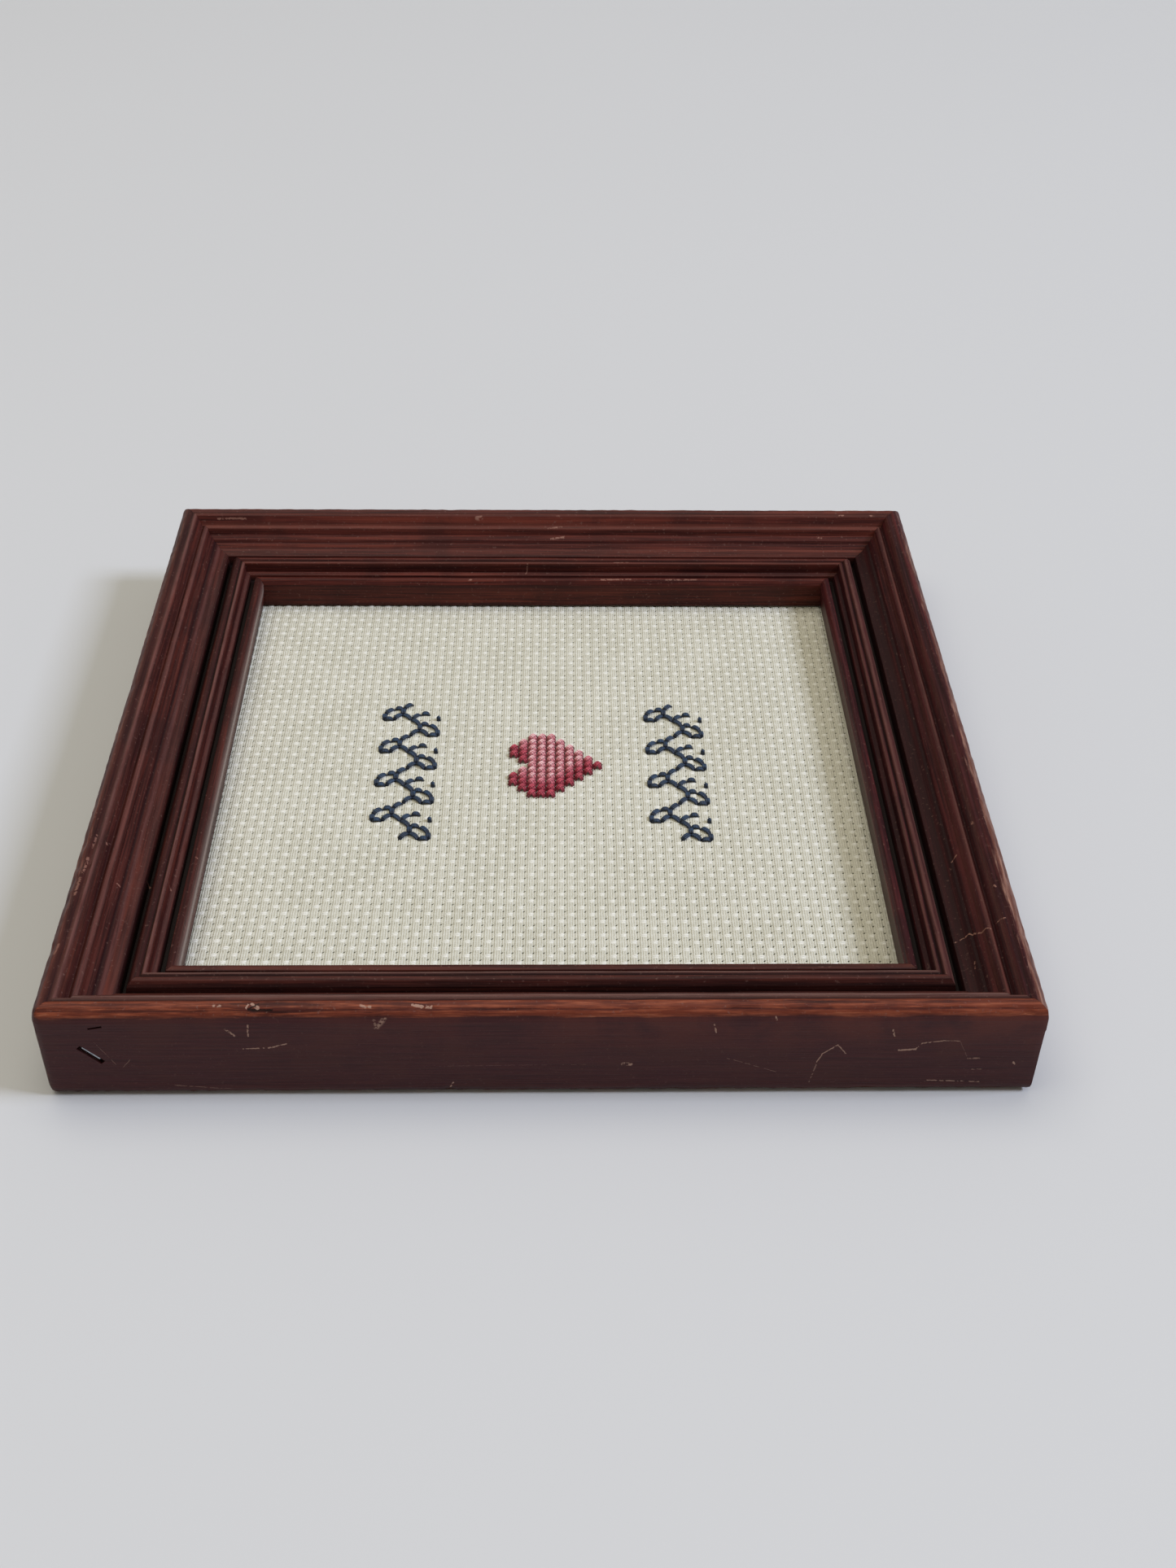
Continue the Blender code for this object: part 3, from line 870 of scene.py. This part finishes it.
def stitched_piece(name, strand, runs):
    """A piece made of copies of one strand, each laid from a start to an end.

    runs holds (start, end, side shift, rise, width) for each copy."""
    source = strand.data
    points = points_of(source)
    lit_shares = np.array([item.value for item in source.attributes["lit_share"].data])
    faces = [tuple(face.vertices) for face in source.polygons]
    all_points = []
    all_faces = []
    all_along = []
    all_lit_share = []
    all_lots = []
    tones = random.Random(31)
    for start, end, shift, rise, width in runs:
        ahead = end - start
        length = ahead.length
        ahead.normalize()
        aside = Vector((-ahead.y, ahead.x, 0.0))
        middle = (start + end) / 2 + aside * shift + Vector((0.0, 0.0, rise))
        first = len(all_points) * len(points)
        placed = (np.outer(points[:, 0] * length, ahead) + np.outer(points[:, 1] * width, aside)
                  + np.outer(points[:, 2] * width, (0.0, 0.0, 1.0)) + np.array(middle))
        all_points.append(placed)
        all_faces.extend(tuple(first + corner for corner in face) for face in faces)
        all_along.append(points[:, 0] * length)
        all_lit_share.append(lit_shares)
        all_lots.append(np.full(len(points), tones.uniform(0.0, 1.0)))
    mesh = bpy.data.meshes.new(name)
    mesh.from_pydata(np.concatenate(all_points).tolist(), [], all_faces)
    mesh.update()
    piece = bpy.data.objects.new(name, mesh)
    bpy.context.scene.collection.objects.link(piece)
    set_attribute(mesh, "along", np.concatenate(all_along))
    set_attribute(mesh, "lit_share", np.concatenate(all_lit_share))
    set_attribute(mesh, "lot", np.concatenate(all_lots))
    smooth(piece, THREAD_SMOOTH)
    return piece


def heart_colour(column, row):
    """Which thread a square of the heart is worked in: crimson below, rose beside it, then pink."""
    below = 0
    while row - below - 1 >= 0 and HEART_CHART[column][row - below - 1] == "x":
        below += 1
    if below <= 1:
        return "crimson"
    if below == 2:
        return "rose"
    return "pink"


def add_heart(strand):
    """The heart: a cross in each charted square, its top legs all slanting one way."""
    spread = random.Random(21)
    runs = {"pink": [], "rose": [], "crimson": []}
    first_column, first_row = HEART_FIRST_SQUARE
    for column, line in enumerate(HEART_CHART):
        for row, mark in enumerate(line):
            if mark != "x":
                continue
            near_left = hole(first_column + column, first_row + row)
            near_right = hole(first_column + column + 1, first_row + row)
            far_left = hole(first_column + column, first_row + row + 1)
            far_right = hole(first_column + column + 1, first_row + row + 1)
            colour = heart_colour(column, row)
            lower = [near_right.lerp(far_left, share) for share in (LEG_INSET, 1.0 - LEG_INSET)]
            upper = [near_left.lerp(far_right, share) for share in (LEG_INSET, 1.0 - LEG_INSET)]
            for shift in (-LEG_SPACING, LEG_SPACING):
                loose = spread.uniform(-LOOSENESS, LOOSENESS)
                runs[colour].append((*lower, shift + loose, LOWER_LEG_RISE, LEG_WIDTH))
                runs[colour].append((*upper, shift - loose, UPPER_LEG_RISE, LEG_WIDTH))
    return {colour: stitched_piece(f"heart_{colour}", strand, runs[colour]) for colour in runs}


def add_vines(strand):
    """Two rows of vine in backstitch, a stitch to a square, with two strands side by side."""
    spread = random.Random(8)
    runs = []
    for column, first_row, repeats in VINE_ROWS:
        for repeat in range(repeats):
            for (across_a, along_a), (across_b, along_b) in VINE_STITCHES:
                start = hole(column + across_a, first_row + repeat * VINE_REPEAT + along_a)
                end = hole(column + across_b, first_row + repeat * VINE_REPEAT + along_b)
                for shift in (-VINE_STRAND_SPACING, VINE_STRAND_SPACING):
                    loose = spread.uniform(-LOOSENESS, LOOSENESS)
                    runs.append((start, end, shift + loose, VINE_RISE, VINE_WIDTH))
            knot = hole(column + VINE_KNOT[0], first_row + repeat * VINE_REPEAT + VINE_KNOT[1])
            for reach in (Vector((KNOT_REACH, 0.0, 0.0)), Vector((0.0, KNOT_REACH, 0.0))):
                runs.append((knot - reach, knot + reach, 0.0, KNOT_RISE, KNOT_WIDTH))
    return stitched_piece("vine_backstitch", strand, runs)


def new_material(name):
    material = bpy.data.materials.new(name)
    material.use_nodes = True
    return material, material.node_tree, material.node_tree.nodes["Principled BSDF"]


def join(tree, source, target):
    tree.links.new(source, target)


def put(tree, value, socket):
    """Links a socket, or sets a plain value."""
    if isinstance(value, bpy.types.NodeSocket):
        tree.links.new(value, socket)
    else:
        socket.default_value = value


def maths(tree, operation, first, second=0.0, clamp=False):
    step = tree.nodes.new("ShaderNodeMath")
    step.operation = operation
    step.use_clamp = clamp
    put(tree, first, step.inputs[0])
    put(tree, second, step.inputs[1])
    return step.outputs[0]


def blend_colours(tree, share, first, second):
    step = tree.nodes.new("ShaderNodeMix")
    step.data_type = "RGBA"
    put(tree, share, step.inputs["Factor"])
    for name, colour in (("A", first), ("B", second)):
        socket = [socket for socket in step.inputs if socket.type == "RGBA" and socket.name == name][0]
        put(tree, (*colour, 1.0) if isinstance(colour, tuple) else colour, socket)
    return [socket for socket in step.outputs if socket.type == "RGBA"][0]


def ramp(tree, value, low, high, strength=1.0):
    """0 below low, the strength above high, and smooth between."""
    step = tree.nodes.new("ShaderNodeMapRange")
    step.interpolation_type = "SMOOTHSTEP"
    put(tree, value, step.inputs["Value"])
    step.inputs["From Min"].default_value = low
    step.inputs["From Max"].default_value = high
    if strength == 1.0:
        return step.outputs["Result"]
    return maths(tree, "MULTIPLY", step.outputs["Result"], strength)


def object_place(tree, turn=(0.0, 0.0, 0.0), scale=(1.0, 1.0, 1.0)):
    place = tree.nodes.new("ShaderNodeTexCoord")
    mapping = tree.nodes.new("ShaderNodeMapping")
    mapping.inputs["Rotation"].default_value = turn
    mapping.inputs["Scale"].default_value = scale
    join(tree, place.outputs["Object"], mapping.inputs["Vector"])
    return mapping.outputs["Vector"]


def noise_map(tree, vector, scale, detail=3.0, roughness=0.5):
    step = tree.nodes.new("ShaderNodeTexNoise")
    step.inputs["Scale"].default_value = scale
    step.inputs["Detail"].default_value = detail
    step.inputs["Roughness"].default_value = roughness
    join(tree, vector, step.inputs["Vector"])
    return step.outputs["Fac"]


def attribute(tree, name):
    step = tree.nodes.new("ShaderNodeAttribute")
    step.attribute_name = name
    return step.outputs["Fac"]


def bump(tree, shader, height, distance, strength=1.0):
    step = tree.nodes.new("ShaderNodeBump")
    step.inputs["Distance"].default_value = distance
    step.inputs["Strength"].default_value = strength
    join(tree, height, step.inputs["Height"])
    join(tree, step.outputs["Normal"], shader.inputs["Normal"])


def mark_group():
    """Node group: 1 on the straight line between two places, falling to 0 at its width."""
    group = bpy.data.node_groups.new("straight mark", "ShaderNodeTree")
    for name, kind in (("Place", "Vector"), ("Start", "Vector"), ("End", "Vector"), ("Width", "Float")):
        group.interface.new_socket(name, in_out="INPUT", socket_type=f"NodeSocket{kind}")
    group.interface.new_socket("Share", in_out="OUTPUT", socket_type="NodeSocketFloat")
    entry = group.nodes.new("NodeGroupInput")
    leave = group.nodes.new("NodeGroupOutput")

    def vector_step(operation, first, second, output="Vector"):
        step = group.nodes.new("ShaderNodeVectorMath")
        step.operation = operation
        group.links.new(first, step.inputs[0])
        group.links.new(second, step.inputs["Scale"] if operation == "SCALE" else step.inputs[1])
        return step.outputs[output]

    ahead = vector_step("SUBTRACT", entry.outputs["End"], entry.outputs["Start"])
    away = vector_step("SUBTRACT", entry.outputs["Place"], entry.outputs["Start"])
    reach = vector_step("DOT_PRODUCT", ahead, ahead, "Value")
    passed = vector_step("DOT_PRODUCT", away, ahead, "Value")
    share = maths(group, "DIVIDE", passed, reach, clamp=True)
    nearest = vector_step("SCALE", ahead, share)
    gap = vector_step("DISTANCE", away, nearest, "Value")
    fall = group.nodes.new("ShaderNodeMapRange")
    fall.interpolation_type = "SMOOTHSTEP"
    group.links.new(gap, fall.inputs["Value"])
    fall.inputs["From Min"].default_value = 0.0
    group.links.new(entry.outputs["Width"], fall.inputs["From Max"])
    fall.inputs["To Min"].default_value = 1.0
    fall.inputs["To Max"].default_value = 0.0
    group.links.new(fall.outputs["Result"], leave.inputs["Share"])
    return group


def marks(tree, group, place, table, upright):
    """The strongest of a table of marks at each place; upright tables hold (x, z), others (x, y)."""
    total = None
    for start, end, width, strength in table:
        mark = tree.nodes.new("ShaderNodeGroup")
        mark.node_tree = group
        join(tree, place, mark.inputs["Place"])
        for socket, (across, up) in (("Start", start), ("End", end)):
            spot = (across * MM, 0.0, up * MM) if upright else (across * MM, up * MM, 0.0)
            mark.inputs[socket].default_value = spot
        mark.inputs["Width"].default_value = width * MM
        share = maths(tree, "MULTIPLY", mark.outputs["Share"], strength)
        total = share if total is None else maths(tree, "MAXIMUM", total, share)
    return total


def vector_maths(tree, operation, first, second):
    """A vector step; the second value is a vector, a tuple, or a plain number for SCALE."""
    step = tree.nodes.new("ShaderNodeVectorMath")
    step.operation = operation
    put(tree, first, step.inputs[0])
    put(tree, second, step.inputs["Scale"] if operation == "SCALE" else step.inputs[1])
    return step.outputs["Vector"]


def jittered(tree, place, size, reach):
    """The place, shaken by fine noise, so that a straight mark gets ragged sides."""
    shake = tree.nodes.new("ShaderNodeTexNoise")
    shake.inputs["Scale"].default_value = 1.0 / size
    shake.inputs["Detail"].default_value = 2.0
    join(tree, place, shake.inputs["Vector"])
    centred = vector_maths(tree, "SUBTRACT", shake.outputs["Color"], (0.5, 0.5, 0.5))
    scaled = vector_maths(tree, "SCALE", centred, 2.0 * reach)
    return vector_maths(tree, "ADD", place, scaled)


def along_and_up(tree, place):
    """The X and the Z of a place."""
    step = tree.nodes.new("ShaderNodeSeparateXYZ")
    join(tree, place, step.inputs[0])
    return step.outputs["X"], step.outputs["Z"]


def flattened(tree, place, axis_scale):
    """The place with one axis set to nothing, so that marks run through along it."""
    return vector_maths(tree, "MULTIPLY", place, axis_scale)


def toned(colour, tone):
    """A colour times a rail's tone, channel by channel."""
    return tuple(value * share for value, share in zip(colour, tone))


def wood_maps(tree, place, side):
    """The noises behind a rail's stain: grain and streaks run its whole length, fibres are short."""
    along_x = side in ("near", "far")
    grain_place, short_place = [
        object_place(tree, scale=(stretch, 1.0, 1.0) if along_x else (1.0, stretch, 1.0))
        for stretch in (LONG_GRAIN, SHORT_GRAIN)]
    return {
        "grain": noise_map(tree, grain_place, 2600.0, 4.0, 0.70),
        "streaks": noise_map(tree, grain_place, 800.0, 4.0, 0.60),
        "fibres": noise_map(tree, short_place, 1900.0, 5.0, 0.66),
        "patches": noise_map(tree, place, 75.0, 4.0, 0.6),
        "specks": noise_map(tree, place, 1700.0, 2.0, 0.55),
    }


def moulding_stain(tree, maps, tone):
    """The stain on the moulding: deep to red grain, brighter streaks and dull patches."""
    grained = ramp(tree, maps["grain"], 0.38, 0.62)
    # The rail's tone makes its whole stain lighter or darker as light falls on that rail: painted light
    # and shade.
    stain = blend_colours(tree, grained, toned(STAIN_DEEP, tone), toned(STAIN_RED, tone))
    streaked = ramp(tree, maps["streaks"], 0.50, 0.68, 0.75)
    stain = blend_colours(tree, streaked, stain, toned(STAIN_STREAK, tone))
    patched = ramp(tree, maps["patches"], 0.48, 0.66, 0.55)
    return blend_colours(tree, patched, stain, toned(STAIN_PATCH, tone))


def face_stain(tree, maps, place, stain):
    """The duller stain on the outer face, redder towards its top and its +X end."""
    on_face = blend_colours(tree, ramp(tree, maps["grain"], 0.30, 0.70), FACE_DEEP, FACE_PALE)
    on_face = blend_colours(tree, ramp(tree, maps["fibres"], 0.48, 0.72, 0.30), on_face, FACE_FIBRE)
    on_face = blend_colours(tree, ramp(tree, maps["patches"], 0.46, 0.64, 0.45), on_face, FACE_CLOUD)
    face = attribute(tree, "face")
    stain = blend_colours(tree, face, stain, on_face)
    along, upwards = along_and_up(tree, place)
    redder = maths(tree, "MULTIPLY", ramp(tree, upwards, *REDDER_HEIGHTS),
                   ramp(tree, maps["patches"], 0.34, 0.58))
    redder = maths(tree, "MULTIPLY", redder, face)
    redder = maths(tree, "MULTIPLY", redder, ramp(tree, along, *REDDER_PLACES))
    return blend_colours(tree, maths(tree, "MULTIPLY", redder, 0.85), stain, FACE_RED)


def banded_stain(tree, maps, stain, highlight_colour):
    """The painted highlight and painted shade bands that run along a rail, and the painted highlight on
    the left lip.
    """
    # Painted highlight: lighter stain on the members that catch the light.
    light = maths(tree, "MULTIPLY", attribute(tree, "light"), ramp(tree, maps["fibres"], 0.15, 0.60))
    stain = blend_colours(tree, maths(tree, "MULTIPLY", light, 0.85), stain, highlight_colour)
    # Painted shade: darker stain on the members that lie in shadow.
    stain = blend_colours(tree, attribute(tree, "dark"), stain, PAINTED_SHADE_COLOUR)
    # Painted highlight on the left lip's inner face.
    lip_highlight = maths(tree, "MULTIPLY", attribute(tree, "lip_highlight"), ramp(tree, maps["fibres"], 0.10, 0.50))
    return blend_colours(tree, lip_highlight, stain, LIP_HIGHLIGHT_COLOUR)


def worn_stain(tree, maps, stain, worn_deep, worn_pale):
    """Worn edges, rubbed through along ragged fibres, with pale chips where they are barest."""
    fibres = maps["fibres"]
    wear = attribute(tree, "wear")
    ragged = maths(tree, "MULTIPLY", maths(tree, "SUBTRACT", fibres, 0.5), 0.9)
    cloudy = maths(tree, "MULTIPLY", maths(tree, "SUBTRACT", maps["patches"], 0.5), 1.2)
    uneven = maths(tree, "ADD", wear, maths(tree, "ADD", ragged, cloudy))
    rubbed = maths(tree, "MULTIPLY", ramp(tree, uneven, 0.42, 0.86), ramp(tree, wear, 0.10, 0.45))
    orange = blend_colours(tree, ramp(tree, fibres, 0.42, 0.70), worn_deep, worn_pale)
    stain = blend_colours(tree, rubbed, stain, orange)
    barest = maths(tree, "ADD", maths(tree, "MULTIPLY", rubbed, 0.35), fibres)
    return blend_colours(tree, ramp(tree, barest, 0.97, 1.08, 0.6), stain, CHIP_COLOUR)


def soiled_and_shaded_stain(tree, maps, stain):
    """Fine dust, less of it on the outer face, and grime and painted shade in the hollows and the slots.
    """
    off_face = maths(tree, "SUBTRACT", 1.0, maths(tree, "MULTIPLY", attribute(tree, "face"), 0.75))
    dust = maths(tree, "MULTIPLY", ramp(tree, maps["specks"], 0.62, 0.74, 0.42), off_face)
    stain = blend_colours(tree, dust, stain, DUST_COLOUR)
    # Grime and painted shade in the hollows and the slots.
    grime_and_shade = maths(tree, "MULTIPLY", attribute(tree, "grime_and_shade"), 0.95)
    return blend_colours(tree, grime_and_shade, stain, GRIME_AND_SHADE_COLOUR)


def marked_stain(tree, maps, place, stain, side, group, scratch_colour):
    """Scratches on top, and on the near rail also those on its face, and the cracks in its nose."""
    shaken = jittered(tree, place, *MARK_SHAKE)
    from_above = flattened(tree, shaken, (1.0, 1.0, 0.0))
    scratched = marks(tree, group, from_above, TOP_SCRATCHES[side], False)
    if side == "near":
        on_face = ramp(tree, attribute(tree, "face"), 0.3, 0.7)
        off_face = maths(tree, "SUBTRACT", 1.0, on_face)
        scratched = maths(tree, "MULTIPLY", scratched, off_face)
        from_front = flattened(tree, shaken, (1.0, 0.0, 1.0))
        face_marks = marks(tree, group, from_front, FACE_SCRATCHES, True)
        scratched = maths(tree, "MAXIMUM", scratched, maths(tree, "MULTIPLY", face_marks, on_face))
    broken = maths(tree, "MULTIPLY", scratched, ramp(tree, maps["specks"], 0.34, 0.52))
    stain = blend_colours(tree, ramp(tree, broken, 0.12, 0.62, 0.8), stain, scratch_colour)
    if side == "near":
        cracked = maths(tree, "MULTIPLY", marks(tree, group, from_above, CRACKS, False), off_face)
        stain = blend_colours(tree, ramp(tree, cracked, 0.1, 0.5), stain, CRACK_COLOUR)
    return stain


def wood_material(side, group):
    """Dark red-brown stain over fine straight grain, rubbed through to orange where it is worn."""
    material, tree, shader = new_material(f"dark stained wood, {side} rail")
    place = object_place(tree)
    maps = wood_maps(tree, place, side)
    # Each rail's highlight, wear and scratch colours are set by side as light falls on it: partly painted
    # light.
    highlight_colour, worn_deep, worn_pale, scratch_colour = RAIL_COLOURS_AS_LIT[side]
    stain = moulding_stain(tree, maps, RAIL_LIT_TONES[side])
    stain = face_stain(tree, maps, place, stain)
    stain = banded_stain(tree, maps, stain, highlight_colour)
    stain = worn_stain(tree, maps, stain, worn_deep, worn_pale)
    stain = soiled_and_shaded_stain(tree, maps, stain)
    stain = marked_stain(tree, maps, place, stain, side, group, scratch_colour)
    join(tree, stain, shader.inputs["Base Color"])

    grain, fibres = maps["grain"], maps["fibres"]
    roughness = maths(tree, "ADD", maths(tree, "MULTIPLY", grain, 0.20), 0.34)
    join(tree, roughness, shader.inputs["Roughness"])
    shader.inputs["Specular IOR Level"].default_value = 0.16
    height = maths(tree, "ADD", maths(tree, "MULTIPLY", fibres, 0.8), grain)
    bump(tree, shader, height, 0.06 * MM, 0.8)
    return material


def cloth_threads(tree, place):
    """The fine threads, four to a square: across it on the floats, and along it elsewhere."""
    offset_x, offset_y = cloth_offset()
    split = tree.nodes.new("ShaderNodeSeparateXYZ")
    join(tree, place, split.inputs[0])
    wander = maths(tree, "MULTIPLY", noise_map(tree, place, 700.0, 2.0, 0.5), 1.2)
    rows = []
    for axis, offset in (("X", offset_x), ("Y", offset_y)):
        squares = maths(tree, "DIVIDE", maths(tree, "SUBTRACT", split.outputs[axis], offset), PITCH)
        turns = maths(tree, "ADD", maths(tree, "MULTIPLY", squares, 4 * math.pi), wander)
        rows.append(maths(tree, "ABSOLUTE", maths(tree, "SINE", turns)))
    threads = tree.nodes.new("ShaderNodeMix")
    put(tree, ramp(tree, attribute(tree, "weft"), 0.12, 0.45), threads.inputs[0])
    put(tree, rows[0], threads.inputs[2])
    put(tree, rows[1], threads.inputs[3])
    return threads.outputs[0]


def cloth_material():
    """Ivory cotton: fine threads within each square, painted lighter on the raised floats as a painted
    highlight, and darker between the threads and darker and greener in the holes as painted shade.
    """
    material, tree, shader = new_material("ivory even-weave")
    place = object_place(tree, turn=(0.0, 0.0, -CLOTH_TURN))
    threads = cloth_threads(tree, place)
    fuzz = noise_map(tree, place, 5200.0, 2.0, 0.6)
    bump(tree, shader, maths(tree, "ADD", threads, fuzz), 0.10 * MM, 0.9)
    tone = noise_map(tree, place, 120.0, 4.0, 0.6)
    ivory = blend_colours(tree, ramp(tree, tone, 0.3, 0.7), IVORY_SHADED, IVORY_PLAIN)
    # Painted highlight: the raised floats and bars are painted lighter.
    bars = maths(tree, "MULTIPLY", attribute(tree, "bar"), 0.45)
    lifted = maths(tree, "ADD", attribute(tree, "weft"), bars)
    ivory = blend_colours(tree, ramp(tree, lifted, 0.15, 0.75), ivory, IVORY_FLOAT_HIGHLIGHT)
    # Painted shade between the threads.
    ivory = blend_colours(tree, ramp(tree, threads, 0.50, 0.05, 0.42), ivory, SHADE_BETWEEN_THREADS)
    ivory = blend_colours(tree, ramp(tree, fuzz, 0.42, 0.80, 0.7), ivory, IVORY_FUZZ)
    # Painted shade in the holes.
    ivory = blend_colours(tree, ramp(tree, attribute(tree, "pit"), 0.14, 0.46), ivory, HOLE_SHADE)
    join(tree, ivory, shader.inputs["Base Color"])
    shader.inputs["Roughness"].default_value = 0.92
    shader.inputs["Specular IOR Level"].default_value = 0.2
    shader.inputs["Sheen Weight"].default_value = 0.12
    return material


def thread_material(name, dark, light):
    """Stranded cotton with a soft sheen and a fine slanting twist, painted darker towards each strand's
    ends and underside as painted shade.
    """
    material, tree, shader = new_material(name)
    place = object_place(tree)
    fibre = noise_map(tree, place, 4200.0, 3.0, 0.6)
    turns = maths(tree, "MULTIPLY", attribute(tree, "along"), 2 * math.pi / TWIST_PITCH)
    twist = maths(tree, "SINE", turns)
    lot = maths(tree, "MULTIPLY", maths(tree, "SUBTRACT", attribute(tree, "lot"), 0.5), 0.30)
    tone = maths(tree, "ADD", maths(tree, "ADD", maths(tree, "MULTIPLY", twist, 0.16), fibre), lot)
    colour = blend_colours(tree, ramp(tree, tone, 0.25, 0.80), dark, light)
    # Painted light and shade on each strand: lighter on its top and middle, darker towards its ends and
    # underside, deepest at the tips.
    lit_share = attribute(tree, "lit_share")
    colour = blend_colours(tree, ramp(tree, lit_share, 0.86, 0.45), colour, dark)
    deep = tuple(DEEP_SHADE * share for share in dark)
    colour = blend_colours(tree, ramp(tree, lit_share, 0.55, 0.15), colour, deep)
    join(tree, colour, shader.inputs["Base Color"])
    shader.inputs["Roughness"].default_value = 0.55
    shader.inputs["Sheen Weight"].default_value = 0.10
    shader.inputs["Sheen Roughness"].default_value = 0.4
    height = maths(tree, "ADD", maths(tree, "MULTIPLY", twist, 0.5), fibre)
    bump(tree, shader, height, 0.05 * MM, 0.8)
    return material


def card_material():
    """Plain pulp card, grey-brown and matt, with darker clouds."""
    material, tree, shader = new_material("plain grey card")
    place = object_place(tree)
    pulp = noise_map(tree, place, 900.0, 5.0, 0.65)
    cloud = noise_map(tree, place, 45.0, 3.0, 0.5)
    colour = blend_colours(tree, ramp(tree, pulp, 0.3, 0.7), *CARD_COLOURS)
    colour = blend_colours(tree, ramp(tree, cloud, 0.4, 0.7, 0.4), colour, CARD_CLOUD)
    join(tree, colour, shader.inputs["Base Color"])
    shader.inputs["Roughness"].default_value = 0.88
    bump(tree, shader, pulp, 0.12 * MM, 0.6)
    return material


def steel_material():
    """Drawn steel wire, gone dull."""
    material, tree, shader = new_material("dull staple wire")
    place = object_place(tree)
    drawn = noise_map(tree, place, 3000.0, 3.0, 0.6)
    colour = blend_colours(tree, ramp(tree, drawn, 0.35, 0.7), *STEEL_COLOURS)
    join(tree, colour, shader.inputs["Base Color"])
    shader.inputs["Metallic"].default_value = 1.0
    shader.inputs["Roughness"].default_value = 0.42
    bump(tree, shader, drawn, 0.02 * MM, 0.5)
    return material


def floor_material():
    """A pale, nearly even floor."""
    material, tree, shader = new_material("pale floor")
    place = object_place(tree)
    cloud = noise_map(tree, place, 3.0, 2.0, 0.5)
    colour = blend_colours(tree, cloud, *FLOOR_COLOURS)
    join(tree, colour, shader.inputs["Base Color"])
    shader.inputs["Roughness"].default_value = 0.55
    shader.inputs["Specular IOR Level"].default_value = 0.25
    return material


def add_floor():
    deselect_all()
    bpy.ops.mesh.primitive_plane_add(size=FLOOR_SIZE, location=(0.0, 0.0, 0.0))
    floor = take_new("pale_floor")
    floor.data.materials.append(floor_material())


def add_camera():
    data = bpy.data.cameras.new("camera")
    data.sensor_fit = "VERTICAL"
    data.sensor_height = FILM_HEIGHT
    data.lens = CAMERA_LENS
    data.clip_start = 0.01
    camera = bpy.data.objects.new("camera", data)
    bpy.context.scene.collection.objects.link(camera)
    heading = Matrix.Rotation(CAMERA_HEADING, 4, "Z")
    look_down = Matrix.Rotation(math.pi / 2 - CAMERA_DOWN, 4, "X")
    roll = Matrix.Rotation(CAMERA_ROLL, 4, "Z")
    camera.matrix_world = Matrix.Translation(CAMERA_PLACE) @ (heading @ look_down @ roll)
    bpy.context.scene.camera = camera


def add_area_light(name, place, size, watts, colour):
    """A square light that faces the origin."""
    data = bpy.data.lights.new(name, "AREA")
    data.shape = "SQUARE"
    data.size = size
    data.energy = watts
    data.color = colour
    light = bpy.data.objects.new(name, data)
    light.location = place
    light.rotation_euler = (-Vector(place)).to_track_quat("-Z", "Y").to_euler()
    bpy.context.scene.collection.objects.link(light)


def add_lights():
    """A cool window to the right, a warm ceiling and the pale room around."""
    add_area_light("window light", *WINDOW_LIGHT)
    add_area_light("ceiling light", *CEILING_LIGHT)
    world = bpy.data.worlds.new("pale room")
    world.use_nodes = True
    background = world.node_tree.nodes["Background"]
    background.inputs["Color"].default_value = ROOM_COLOUR
    background.inputs["Strength"].default_value = ROOM_STRENGTH
    bpy.context.scene.world = world


def dress(piece, slot, material, *nodes):
    """Gives a new piece its material, hangs it under the root, and hides the CAD nodes that it replaces.
    The slot is not used.
    """
    piece.data.materials.clear()
    piece.data.materials.append(material)
    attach(piece, "root")
    if nodes:
        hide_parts(*nodes)


def dress_node(node, material):
    """Gives a CAD node that keeps its own shape its material."""
    piece = bpy.data.objects[node]
    for slot in piece.material_slots:
        slot.material = material


def build():
    add_camera()
    add_floor()
    add_lights()
    bpy.context.scene.view_settings.view_transform = "Standard"

    rails = add_rails()
    group = mark_group()
    for side, rail in rails.items():
        dress(rail, "frame_wood", wood_material(side, group), f"rail_{side}")

    cloth = add_cloth()
    dress(cloth, "even_weave_cloth", cloth_material(), "stitched_cloth")

    cross_leg = plain_strand("plain cross leg", *CROSS_LEG)
    heart = add_heart(cross_leg)
    for colour, piece in heart.items():
        dress(piece, "rose_thread", thread_material(f"{colour} thread", *HEART_THREADS[colour]))
    back_strand = plain_strand("plain backstitch", *BACKSTITCH)
    vines = add_vines(back_strand)
    dress(vines, "navy_thread", thread_material("navy thread", *NAVY_THREAD))
    for spare in (cross_leg, back_strand):
        bpy.data.objects.remove(spare, do_unlink=True)

    dress_node("backing_board", card_material())
    dress_node("corner_staple", steel_material())


build()
